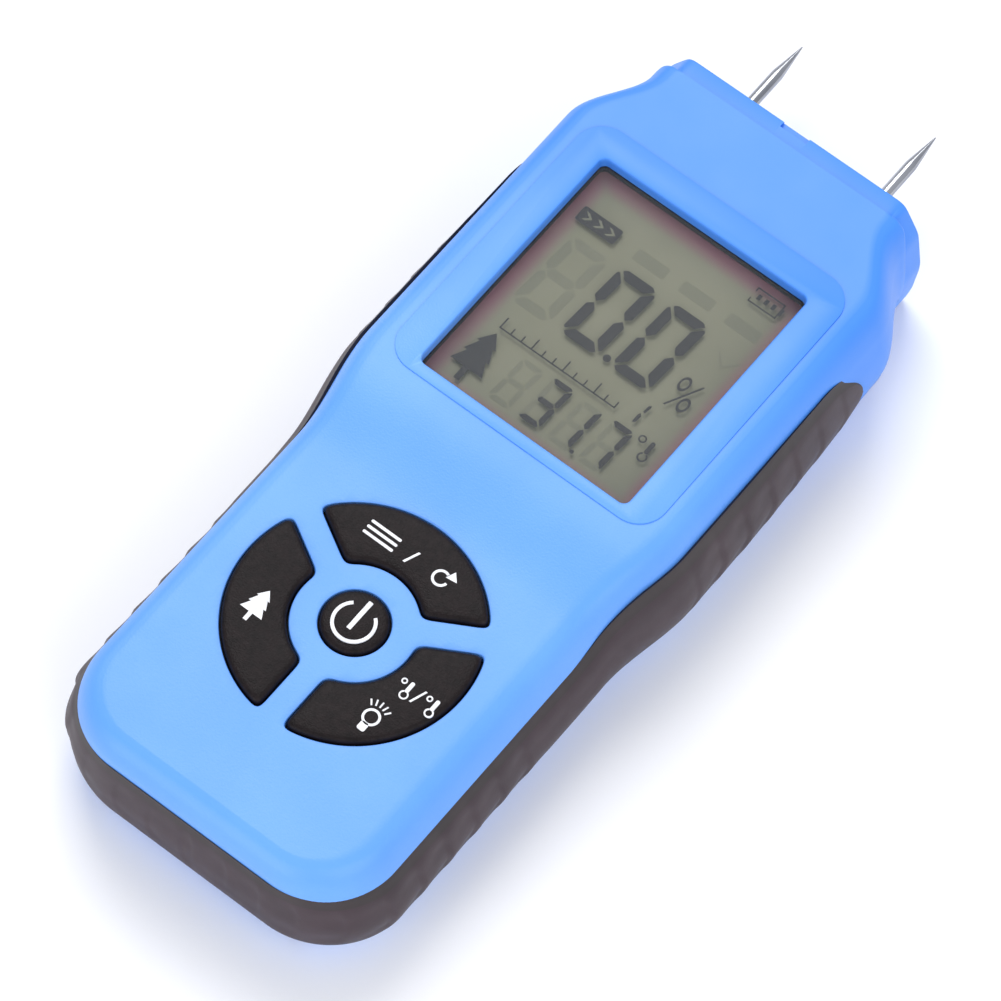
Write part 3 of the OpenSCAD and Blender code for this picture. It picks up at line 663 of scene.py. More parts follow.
@dataclass
class CaseShape:
    """The outer form that cover, rear case and grip share.

    v runs from the case's bottom edge to its end. widen, rise and taper are where the sides
    open, the face climbs and the head narrows, as a start and a length along v. stretches are
    the stations of the plan outline, as the end of each stretch and its steps.
    """

    length: float = 143.0
    handle_half: float = 27.6
    display_half: float = 30.1
    corner_r: float = 13.0
    seam: float = 9.0
    mid: float = 12.7
    wall: float = 2.2
    widen: tuple[float, float] = (60.2, 19.0)
    rise: tuple[float, float] = (57.4, 16.0)
    taper: tuple[float, float] = (127.5, 13.5)
    head_drop: float = 5.9
    shoulder_r: float = 1.5
    stretches: tuple[Point, ...] = ((57, 24), (82, 26), (126, 18), (140.5, 22))
    columns: int = 44
    band_height: float = 0.26
    step: float = 1.5
    bottom: float = field(default_factory=lambda: corner("front_cover", False).y)
    top_height: float = field(default_factory=lambda: corner("front_cover", True).z)
    keypad: Vector = field(default_factory=lambda: middle("power_key"))
    window: Vector = field(default_factory=lambda: middle("window_lens"))
    window_w: float = 39.2
    window_l: float = 45.2
    face_h: float = 26.0

    def half_w(self, v: float) -> float:
        """Returns half the width at the reference line of the side."""
        return (self.handle_half + (self.display_half - self.handle_half) * ease(v, *self.widen)
                - self.head_drop * ease(v, *self.taper))

    def face_z(self, v: float) -> float:
        """Returns the height of the face, which leaves room for the window's band on the display."""
        return self.face_h + (self.top_height - self.band_height - self.face_h) * ease(v, *self.rise)

    def level(self, z: float, v: float) -> float:
        """Returns a display-part height as it lies along the handle."""
        if z <= self.mid:
            return z
        return self.mid + (z - self.mid) * (self.face_z(v) - self.mid) / (self.top_height - self.mid)

    def half_outline(self, side: float, end: float, top: float) -> list[tuple[float, float]]:
        """Draws the right half of the plan outline.

        Args:
            side: How far the sides are moved in.
            end: How far the bottom edge is moved in.
            top: How far the far end is moved in.

        Returns:
            The points, from the bottom edge to the far end.
        """
        r0 = max(1.0, self.corner_r - max(side, end))
        r1 = max(0.5, self.shoulder_r - side)
        x1, y1 = self.half_w(self.length) - side - r1, self.length - top - r1
        low = end + r0
        starts = [low] + [reach for reach, _ in self.stretches]
        stations = [v for start, (reach, count) in zip(starts, self.stretches)
                    for v in np.linspace(start, reach, count)[1:]]
        return (arc((self.handle_half - side - r0, low), r0, -90, 0, 24)
                + [(self.half_w(v) - side, v) for v in stations]
                + arc((x1, y1), r1, 0, 90, 6))

    def ring(self, level: Sequence[float]) -> np.ndarray:
        """Draws one closed ring of the shell.

        Args:
            level: Height, and how far sides, bottom edge and far end are moved in.

        Returns:
            The ring's points.
        """
        half = self.half_outline(*level[1:])
        m = self.columns
        top = [(half[-1][0] * (1 - 2 * k / m), half[-1][1]) for k in range(1, m)]
        bottom = [(-half[0][0] * (1 - 2 * k / m), half[0][1]) for k in range(1, m)]
        flat = half + top + [(-x, v) for x, v in reversed(half)] + bottom
        return np.array([(x, self.bottom + v, self.level(level[0], v)) for x, v in flat])

    def deck(self, level: Sequence[float], ring_start: int, ring_size: int) -> tuple[list, list]:
        """Fills a ring with a grid of rows.

        Args:
            level: Level of the ring.
            ring_start: Number of the ring's first point.
            ring_size: Points in the ring.

        Returns:
            The points inside the ring, and faces by number, upward facing.
        """
        half = self.half_outline(*level[1:])
        rows, m = len(half), self.columns
        points: list = []
        grid = []
        for i, (x, v) in enumerate(half):
            row = [ring_start + i]
            for k in range(1, m):
                if i == 0:
                    row.append(ring_start + ring_size - k)
                elif i == rows - 1:
                    row.append(ring_start + rows + k - 1)
                else:
                    at = x * (1 - 2 * k / m)
                    points.append((at, self.bottom + v, self.level(level[0], v)))
                    row.append(ring_start + ring_size + len(points) - 1)
            row.append(ring_start + 2 * rows + m - 2 - i)
            grid.append(row)
        faces = [(grid[i][k], grid[i + 1][k], grid[i + 1][k + 1], grid[i][k + 1])
                 for i in range(rows - 1) for k in range(m)]
        return points, faces

    def shell(self, outer: Sequence[Point], inner: Sequence[Point], opens_down: bool) -> Solid:
        """Builds one half of the case as a closed shell.

        Args:
            outer: Levels of the outside, from the seam to the face.
            inner: Levels of the cavity, from the seam to its floor.
            opens_down: True for the cover, False for the rear case.

        Returns:
            The shell.
        """
        solid = Solid()
        points, faces = [], []
        for levels, flip in ((outer, False), (inner, True)):
            start = len(points)
            rings = [self.ring(level) for level in levels]
            n = len(rings[0])
            points += [p for ring in rings for p in ring]
            last = start + (len(rings) - 1) * n
            sides = [(a + i, a + (i + 1) % n, a + n + (i + 1) % n, a + n + i)
                     for a in range(start, last, n) for i in range(n)]
            extra, deck = self.deck(levels[-1], last, n)
            points += extra
            faces += [tuple(reversed(f)) for f in sides + deck] if flip else sides + deck
        faces += [(i, start + i, start + (i + 1) % n, (i + 1) % n) for i in range(n)]
        solid.add(points, faces if opens_down else [tuple(reversed(f)) for f in faces])
        return solid

    def band(self) -> Solid:
        """Returns the raised band round the window, with a softened edge."""
        side, near, far, r, soft, root = 5.4, 2.2, 5.2, 5.0, 0.1, 1.2
        w, l = self.window_w + 2 * side, self.window_l + near + far
        centre = (self.window.x, self.window.y + (far - near) / 2)
        top = self.top_height
        solid = Solid()
        solid.stack(lambda grow: rounded_box(w + 2 * grow, l + 2 * grow, r + grow, centre, 10),
                    [(top - root, 0), (top - soft, 0), (top - 0.3 * soft, -0.3 * soft), (top, -soft)])
        return solid

    def seat(self, low: float, high: float) -> Solid:
        """Builds the part of the cap seat between two heights, with its edges softened.

        Args:
            low: Height that the part starts at.
            high: Height that it ends at.

        Returns:
            The solid.
        """
        half = self.half_w(self.length) - self.step
        right = [(half + 0.5, 0.4), (half + 1.6, 5.3), (half + 2.4, self.mid), (half + 1.2, 21.2),
                 (half - 2, self.top_height - self.step)]
        outline = densify(right + [(-x, z) for x, z in reversed(right)], 0.5, 6)
        kept = []
        for (x0, z0), (x1, z1) in zip(outline, np.roll(outline, -1, 0)):
            if low <= z0 <= high:
                kept.append((x0, z0))
            for limit in (low, high):
                if (z0 - limit) * (z1 - limit) < 0:
                    kept.append((x0 + (x1 - x0) * (limit - z0) / (z1 - z0), limit))
        start, lead = self.length - self.wall * 0.7, 0.45
        end = corner("front_cover", True).y - self.bottom
        solid = Solid()
        rings = []
        for v, inset in ((start, 0), (end - lead, 0), (end - lead * 0.3, lead * 0.3), (end, lead)):
            rings.append(np.array([(x - inset * x / half, self.bottom + v,
                                    z if z in (low, high) else z + inset * (1 - 2 * z / self.top_height))
                                   for x, z in kept]))
        solid.loft([ring[::-1] for ring in rings])
        return solid


# How far the case's sides bulge past their reference line, by height
SKIN_Z = (5.3, 9, 12.7, 17, 21.2, 23.6)
SKIN_OUT = (-0.2, 0.8, 1.4, 1.2, 0.5, 0)

# Levels of the shells, outside and cavity: height, and how far sides, bottom edge and far end move in
REAR_LEVELS = [(9, -0.8, 0.6, 0), (8.9, -0.78, 0.62, 0), (5.3, 0.2, 1.2, 0), (2.4, 0.9, 1.8, 0.1),
               (0.8, 1.6, 2.7, 0.2), (0, 2.6, 3.8, 0.6)]
REAR_CAVITY = [(9, 2.0, 3.0, 2.2), (5.3, 2.4, 3.8, 2.2), (2.2, 3.0, 4.8, 2.2)]
COVER_LEVELS = [(9, -0.8, 0.6, 0), (12.7, -1.4, 0.2, 0), (17, -1.2, 0.1, 0), (21.2, -0.5, 0, 0),
                (23.6, 0, 0, 0), (26, 0.9, 0.7, 0), (27.6, 2.2, 2, 0.1), (28.2, 3.8, 3.4, 0.3)]
COVER_CAVITY = [(9, 2.0, 3.0, 2.2), (12.7, 1.6, 2.6, 2.2), (21.2, 2.0, 2.2, 2.2), (26.2, 3.6, 3.2, 2.2)]


class KeyKind(Enum):
    """The three keys of the ring, with the angle that each is centred on."""

    MODE = 90
    SPECIES = 210
    UNIT = 330


def fir(centre: Point, height: float) -> list[tuple[float, float]]:
    """Draws a small fir.

    Args:
        centre: Middle of the fir.
        height: Height from the foot of its trunk to its tip.

    Returns:
        The outline, anticlockwise from the foot.
    """
    half = [(0.055, 0), (0.06, 0.25), (0.34, 0.25), (0.2, 0.5), (0.27, 0.5), (0.14, 0.74),
            (0.2, 0.74), (0, 1)]
    right = [(x * height, y * height) for x, y in half]
    both = right + [(-x, y) for x, y in right[-2::-1]]
    return [(centre[0] + x, centre[1] + y - height / 2) for x, y in both]


@dataclass
class Keypad:
    """Ring of three keys round the power key, and the holes that they stand in."""

    shape: CaseShape
    ring_r: float = 20.0
    inner_r: float = 9.8
    spoke: float = 4.4
    power_r: float = 5.5
    gap: float = 0.3
    proud: float = 0.9
    flange: float = 1.0
    flange_t: float = 0.8
    flange_drop: float = 2.57
    bevel: float = 0.65
    post_r: float = 1.6

    def sector(self, kind: KeyKind, grow: float, soften: int = 5) -> Outline:
        """Draws the hole of a ring key.

        Args:
            kind: Key of the ring.
            grow: How much wider than the hole the outline is, on every side.
            soften: Smoothing passes at the corners.

        Returns:
            The outline, anticlockwise.
        """
        outer, inner, half_gap = self.ring_r + grow, self.inner_r - grow, self.spoke / 2 - grow
        reach = 60 - math.degrees(math.asin(half_gap / outer))
        near = 60 - math.degrees(math.asin(half_gap / inner))
        flat = arc((0, 0), outer, -reach, reach, 64) + arc((0, 0), inner, near, -near, 32)
        sides = [flat[64], flat[65], flat[-1], flat[0]]
        cuts = 18
        walls = [[tuple(np.array(a) + (np.array(b) - np.array(a)) * k / cuts) for k in range(1, cuts)]
                 for a, b in ((sides[0], sides[1]), (sides[2], sides[3]))]
        p = np.array(flat[:65] + walls[0] + flat[65:] + walls[1])
        for _ in range(soften):
            p = (np.roll(p, 1, 0) + 2 * p + np.roll(p, -1, 0)) / 4
        c, s = math.cos(math.radians(kind.value)), math.sin(math.radians(kind.value))
        return p @ np.array([[c, s], [-s, c]]) + np.array(self.shape.keypad[:2])

    def disc(self, grow: float) -> Outline:
        """Returns the outline of the power key's hole, grown all round."""
        return np.array(arc(self.shape.keypad[:2], self.power_r + grow, 0, 360, 72)[:-1])

    def holes(self) -> Solid:
        """Returns the cutter for the key holes, with a small radius at the face."""
        solid = Solid()
        face, r, deep, above = self.shape.face_h, 0.35, 8, 3
        for outline in [partial(self.sector, kind) for kind in KeyKind] + [self.disc]:
            solid.stack(outline, [(face - deep, 0), (face - r, 0), (face - 0.5 * r, 0.07 * r),
                                  (face - 0.13 * r, 0.35 * r), (face, 0.9 * r), (face + above, 0.9 * r)])
        return solid

    def build_key(self, name: str, outline: Callable[[float], Outline], centre: Point,
                  crown: float) -> None:
        """Builds one key: post, flange, bevelled rim and low crown.

        Args:
            name: Name of the key's CAD node and body.
            outline: Gives the outline of the key's hole for a growth.
            centre: Middle of the post.
            crown: Height of the crown above the rim.
        """
        top, low = self.shape.face_h + self.proud, corner(name, False).z
        flange_low = corner(name, True).z - self.proud - self.flange_drop
        flange_high, weld = flange_low + self.flange_t, 0.2
        b, g = self.bevel, -self.gap
        foot = [(flange_low, self.flange), (flange_high, self.flange), (flange_high, g)]
        cap = [(top - b, g), (top - b * 0.62, g - b * 0.12), (top - b * 0.28, g - b * 0.42),
               (top - b * 0.07, g - b * 0.85), (top, g - b * 1.4), (top + crown * 0.5, g - 1.9),
               (top + crown, g - 3.2)]
        solid = Solid()
        solid.stack(outline, foot + [(z - crown, grow) for z, grow in cap])
        solid.lathe([(0.01, low), (self.post_r, low), (self.post_r, flange_low + weld),
                     (0.01, flange_low + weld)], (*centre, 0), (0, 0, 1), 32)
        hand_over(solid.piece(name + "_cap", [KEY_ABS], 40), name, "key_plastic", name)

    def at(self, x: float, y: float) -> tuple[float, float]:
        """Returns a place measured from the middle of the keypad."""
        return self.shape.keypad.x + x, self.shape.keypad.y + y

    def print_icon(self, key: str, marks: Solid) -> None:
        """Makes a key's printed marks, which move with the key."""
        hand_over(marks.piece(key + "_print", [WHITE_INK]), key, "key_plastic")

    def build(self) -> None:
        """Builds the four keys and their printed marks."""
        for kind in KeyKind:
            angle, r = math.radians(kind.value), (self.ring_r + self.inner_r) / 2
            self.build_key(kind.name.lower() + "_key", partial(self.sector, kind),
                           self.at(r * math.cos(angle), r * math.sin(angle)), 0.12)
        self.build_key("power_key", self.disc, self.at(0, 0), 0.3)
        top = self.shape.face_h + self.proud
        low, high = top - 0.25, top + 0.02

        power = Solid()
        power.ring(self.at(0.1, -0.3), 3.5, 2.95, low, high, 130, 410)
        power.prism([self.at(*p) for p in rounded_box(0.75, 5.5, 0.1, (0.1, 1.1), 2)], low, high)
        self.print_icon("power_key", power)

        species = Solid()
        species.prism(fir(self.at(-12.7, -7.1), 6.0), low, high)
        self.print_icon("species_key", species)

        unit = Solid()
        unit.ring(self.at(11.8, -10.8), 1.45, 1.05, low, high)
        unit.prism([self.at(*p) for p in rounded_box(1.35, 1.5, 0.35, (11.7, -12.7), 4)], low, high)
        for angle in (52, 71, 90, 109, 128):
            c, s = math.cos(math.radians(angle)), math.sin(math.radians(angle))
            ends = [(1.95, -0.13), (3.0, -0.13), (3.0, 0.13), (1.95, 0.13)]
            unit.prism([self.at(11.8 + r * c - w * s, -10.8 + r * s + w * c) for r, w in ends], low, high)
        unit.ring(self.at(11.9, -3.1), 0.5, 0.27, low, high)
        unit.ring(self.at(16.6, -3.1), 0.5, 0.27, low, high)
        for x in (13.2, 17.9):
            unit.ring(self.at(x, -5.0), 0.75, 0.5, low, high, 115, 425)
            unit.prism([self.at(*p) for p in rounded_box(0.66, 2.0, 0.3, (x, -3.5), 4)], low, high)
        stroke = [(14.4, -5.3), (14.75, -5.3), (15.75, -2.5), (15.4, -2.5)]
        unit.prism([self.at(*p) for p in stroke], low, high)
        self.print_icon("unit_key", unit)

        mode = Solid()
        for k in range(3):
            bar = rounded_box(5.6, 0.48, 0.2, (-5.6, 12.4 + 1.05 * k), 3)
            mode.prism([self.at(*p) for p in bar], low, high)
        slash = [(-0.7, 12.1), (-0.3, 12.1), (0.75, 14.7), (0.35, 14.7)]
        mode.prism([self.at(*p) for p in slash], low, high)
        mode.ring(self.at(5.5, 13.4), 1.45, 1.02, low, high, 60, 350)
        mode.prism([self.at(*p) for p in [(6.0, 13.95), (7.9, 14.2), (6.7, 15.55)]], low, high)
        self.print_icon("mode_key", mode)


@dataclass
class Case:
    """Front cover, rear case, battery door and screws."""

    shape: CaseShape
    keypad: Keypad
    window_r: float = 1.2
    window_lead: float = 0.6
    latch: tuple[float, float, float] = (5.0, 1.2, 2.3)
    pin_x: float = 13.0
    pin_z: float = 12.0
    pin_hole_r: float = 2.5
    screw_x: float = 22.3
    screw_v: tuple[float, float] = (16, 131)
    bay: tuple[Point, Point] = ((-16.85, 8.3, -1), (16.85, 60, 13.6))
    bay_walls: tuple[Point, Point] = ((-18.2, 7, 1.5), (18.2, 61.3, 14.9))
    door_slot: tuple[Point, Point] = ((-17.9, -4, -1), (17.9, 62.3, 2.4))
    door_grooves: tuple[Point, Point] = ((-18.9, -4, 0.8), (18.9, 62.3, 2.3))
    door_w: float = 35.2

    def block(self, corners: tuple[Point, Point]) -> Solid:
        """Returns a box between two corners measured from the case's bottom edge."""
        solid, shift = Solid(), np.array([0, self.shape.bottom, 0])
        solid.box(corners[0] + shift, corners[1] + shift)
        return solid

    def build_cover(self) -> None:
        """Builds the cover: a thin shell with the band, the window, the key holes and the cap seat."""
        s = self.shape
        shell = s.shell(blend_rows(COVER_LEVELS, 5), COVER_CAVITY, True)
        cover = shell.piece("front_cover_shell", [BLUE_ABS])
        combine(cover, s.seat(s.seam, 50), "UNION")
        combine(cover, s.band(), "UNION")
        cutter = self.keypad.holes()
        face, r, past = s.top_height, self.window_lead, 3
        cutter.stack(lambda grow: rounded_box(s.window_w + 2 * grow, s.window_l + 2 * grow,
                                              self.window_r + grow, s.window[:2]),
                     [(15, 0), (face - r, 0), (face - 0.5 * r, 0.07 * r), (face - 0.16 * r, 0.33 * r),
                      (face + 0.05, r), (face + past, r)])
        end, (w, l, deep) = corner("front_cover", True).y, self.latch
        cutter.box((-w / 2, end - l, face - deep), (w / 2, end + past, face + past))
        inside = 9
        for x in (-self.pin_x, self.pin_x):
            cutter.lathe([(self.pin_hole_r, 0), (self.pin_hole_r, inside + past)],
                         (x, end - inside, self.pin_z), (0, 1, 0), 32)
        combine(cover, cutter, "DIFFERENCE")
        hand_over(cover, "meter", "blue_abs", "front_cover")

    def build_rear(self) -> None:
        """Builds the rear case: a thin shell with the battery bay, the door slot and the screw wells."""
        s = self.shape
        shell = s.shell(blend_rows(REAR_LEVELS, 4), REAR_CAVITY, False)
        rear = shell.piece("rear_case_shell", [BLUE_ABS])
        combine(rear, s.seat(0, s.seam), "UNION")
        combine(rear, self.block(self.bay_walls), "UNION")
        for corners in (self.bay, self.door_slot, self.door_grooves):
            combine(rear, self.block(corners), "DIFFERENCE")
        wells, r, lead, deep = Solid(), 2.3, 0.3, 1.9
        profile = [(r + lead, -1), (r + lead, 0), (r, lead), (r, deep), (0.01, deep)]
        for x in (-self.screw_x, self.screw_x):
            for v in self.screw_v:
                wells.lathe(profile, (x, s.bottom + v, 0), (0, 0, 1), 40)
        combine(rear, wells, "DIFFERENCE")
        hand_over(rear, "meter", "blue_abs", "rear_case")

    def build_door(self) -> None:
        """Builds the sliding battery door, its tongues, its thumb ribs and its arrow."""
        y, low, high, engraved = self.shape.bottom, 0.3, 2.2, 0.3
        edge, end = corner("battery_door", False).y, corner("battery_door", True).y
        centre = [0, (end + edge) / 2]
        outline = rounded_box(self.door_w, end - edge, 1.0, centre, 5)
        door = Solid()
        door.stack(lambda grow: outline + np.sign(outline - centre) * grow,
                   [(low, -0.35), (low + 0.3, 0), (high, 0)])
        piece = door.piece("battery_door_panel", [BLUE_ABS])
        tongues = Solid()
        for start, stop in ((-18.6, -17), (17, 18.6)):
            tongues.box((start, edge + 2, 1.0), (stop, end - 0.5, 1.9))
        combine(piece, tongues, "UNION")
        arrow = [(0, 33), (3.2, 37.5), (1.2, 37.5), (1.2, 43), (-1.2, 43), (-1.2, 37.5), (-3.2, 37.5)]
        marks = Solid()
        marks.prism([(x, y + v) for x, v in arrow], -1, low + engraved)
        combine(piece, marks, "DIFFERENCE")
        hand_over(piece, "battery_door", "blue_abs", "battery_door")
        ribs = repeat_block("battery_door_ribs", (14, 1.1, 0.7), 6, (0, 2.4, 0),
                            (0, y + 12.6, low + 0.1), BLUE_ABS)
        hand_over(ribs, "battery_door", "blue_abs")

    def build(self) -> None:
        """Builds the shells and the door, and dresses the screws."""
        self.build_cover()
        self.build_rear()
        self.build_door()
        dress_node("case_screws", SCREW_STEEL)


def repeat_block(name: str, size: Point, count: int, step: Point, start: Point,
                 finish: Finish) -> bpy.types.Object:
    """Makes a row of equal bevelled blocks with Geometry Nodes.

    Args:
        name: Name of the piece.
        size: Block's width, depth and height.
        count: Number of blocks.
        step: Way from one block to the next.
        start: Centre of the first block.
        finish: Finish of the blocks.

    Returns:
        The row as one plain mesh.
    """
    tree = bpy.data.node_groups.get("block_row")
    if not tree:
        tree = bpy.data.node_groups.new("block_row", "GeometryNodeTree")
        for label, kind in (("Size", "Vector"), ("Count", "Int"), ("Step", "Vector"),
                            ("Start", "Vector"), ("Finish", "Material")):
            tree.interface.new_socket(label, in_out="INPUT", socket_type="NodeSocket" + kind)
        tree.interface.new_socket("Geometry", in_out="OUTPUT", socket_type="NodeSocketGeometry")
        given = tree.nodes.new("NodeGroupInput")
        line = add_node(tree, "GeometryNodeMeshLine", {"mode": "OFFSET"},
                        {"Count": (given, "Count"), "Start Location": (given, "Start"),
                         "Offset": (given, "Step")})
        cube = add_node(tree, "GeometryNodeMeshCube", links={"Size": (given, "Size")})
        rounded = add_node(tree, "GeometryNodeSubdivideMesh", {"Level": 1}, {"Mesh": (cube, "Mesh")})
        copies = add_node(tree, "GeometryNodeInstanceOnPoints", links={"Points": (line, "Mesh"),
                                                                       "Instance": (rounded, "Mesh")})
        real = add_node(tree, "GeometryNodeRealizeInstances", links={"Geometry": (copies, "Instances")})
        dressed = add_node(tree, "GeometryNodeSetMaterial", links={"Geometry": (real, "Geometry"),
                                                                   "Material": (given, "Finish")})
        add_node(tree, "NodeGroupOutput", links={"Geometry": (dressed, "Geometry")})
    piece = Solid().piece(name, [finish])
    row = piece.modifiers.new("row", "NODES")
    row.node_group = tree
    values = {"Size": [c * MM for c in size], "Count": count, "Step": [c * MM for c in step],
              "Start": [c * MM for c in start], "Finish": finish.material()}
    for socket in tree.interface.items_tree:
        if socket.in_out == "INPUT":
            row[socket.identifier] = values[socket.name]
    edge = piece.modifiers.new("edge", "BEVEL")
    edge.width, edge.segments, edge.limit_method = 0.25 * min(size) * MM, 2, "ANGLE"
    settle(piece)
    crisp(piece, 50)
    return piece


@dataclass
class Grip:
    """Soft overmoulded band round the handle and the sides of the display."""

    shape: CaseShape
    stop: float = 122.3
    low: float = 5.3
    handle_high: float = 20.0
    high: float = 23.6
    climb: tuple[float, float] = (53.9, 18.0)
    pitch: float = 6.3
    rib_depth: float = 0.5
    section: tuple[Point, ...] = ((5.3, 0.9), (6.2, 1.75), (8.5, 2.65), (12.0, 3.28), (15.2, 2.6),
                                  (16.8, 2.1), (17.8, 1.6))
    ledge: tuple[Point, ...] = ((18.0, 1.45), (19.2, 0.95), (20.0, 0.5), (19.7, 0.1), (19.0, -0.35))

    def upper(self, v: float) -> float:
        """Returns the height of the band's upper edge."""
        return self.handle_high + (self.high - self.handle_high) * ease(v, *self.climb)

    def path(self, spacing: float) -> list[tuple[float, float, float, float, float]]:
        """Returns stations from the left tip round the bottom to the right tip.

        Args:
            spacing: Distance between stations.

        Returns:
            x, v, the outward direction's x and y, and the distance from the bottom's middle.
        """
        s = self.shape
        turn_x = s.handle_half - s.corner_r
        right = [(x, 0.0) for x in np.arange(0, turn_x, spacing)]
        right += arc((turn_x, s.corner_r), s.corner_r, -90, 0, int(20 / spacing))
        right += [(s.half_w(v), v)
                  for v in [*np.arange(s.corner_r + spacing, self.stop, spacing), self.stop]]
        way, out = 0.0, []
        for i, (x, v) in enumerate(right):
            a, b = np.array(right[max(0, i - 1)]), np.array(right[min(len(right) - 1, i + 1)])
            t = (b - a) / np.linalg.norm(b - a)
            way += math.hypot(x - right[i - 1][0], v - right[i - 1][1]) if i else 0.0
            out.append((x, v, t[1], -t[0], way))
        return [(-x, v, -nx, ny, -d) for x, v, nx, ny, d in reversed(out[1:])] + out

    def scallop(self, way: float, rise: float, v: float) -> float:
        """Works out the scooped ribs at a place on the band.

        Args:
            way: Distance from the middle of the bottom.
            rise: Share of the band's height, from -1 to 1.
            v: Distance from the bottom edge of the case.

        Returns:
            Depth below the crests.
        """
        reach = 1 - ease(abs(rise), 0.35, 0.5)
        zone = max(1 - ease(v, 40, 8), ease(v, 76, 6) * (1 - ease(v, 118, 5)))
        bow = 1.6 * (1 - rise * rise)
        turn = ((abs(way) - bow) / self.pitch) % 1.0
        scoop = ease(turn, 0.0, 0.8) * (1 - ease(turn, 0.86, 0.14))
        return self.rib_depth * scoop * reach * zone

    def build(self) -> None:
        """Builds the band from a section swept along the path, with its ledge as a second slot."""
        s, spacing = self.shape, 0.35
        top_r = (self.high - self.low) / 2
        middle, half = (self.low + self.handle_high) / 2, (self.handle_high - self.low) / 2
        profile = [(self.low, -spacing), (self.low, 0.5), *blend_rows(self.section, 4), *self.ledge]
        rows = []
        for x, v, nx, ny, way in self.path(spacing):
            high = self.upper(v)
            share = 1.0
            if v > self.stop - top_r:
                share = math.sqrt(max(0.0, 1 - ((v - self.stop + top_r) / top_r) ** 2))
            share = max(share, 0.03)
            thin = (1 - 0.71 * min(0.0, ny) ** 2) * (1 - 0.5 * ease(v, self.stop - 32, 32))
            row = []
            for z, d in profile:
                rise = (z - middle) / half
                depth = self.scallop(way, rise, v) if d > 1.2 and z < 19 else 0.0
                place = (high + self.low) / 2 + (high - self.low) / 2 * rise * share
                out = d * thin if d > 0 else d
                if d > 1.2 and ny > -0.2:
                    skin = np.interp(place, SKIN_Z, SKIN_OUT)
                    out = skin + max(0.3, (d - depth - skin) * thin * (0.35 + 0.65 * share))
                elif d > 1.2:
                    out = (d - depth) * thin
                row.append((x + nx * out, s.bottom + v + ny * out, place))
            rows.append(row)
        n = len(profile)
        last = (len(rows) - 1) * n
        faces = [(a + i, a + n + i, a + n + (i + 1) % n, a + (i + 1) % n)
                 for a in range(0, last, n) for i in range(n)]
        # The ledge rows take the second slot, whose darker rubber is painted shade.
        slots = [int(i >= n - len(self.ledge)) for _ in rows[1:] for i in range(n)]
        faces += [tuple(range(n)), tuple(last + i for i in range(n - 1, -1, -1))]
        solid = Solid()
        solid.add([p for row in rows for p in row], faces)
        solid.slots = slots + [0, 0]
        hand_over(solid.piece("side_grip_band", [GRIP_RUBBER, SHADED_LEDGE_RUBBER], 38), "meter", "grip_rubber",
                  "side_grip")


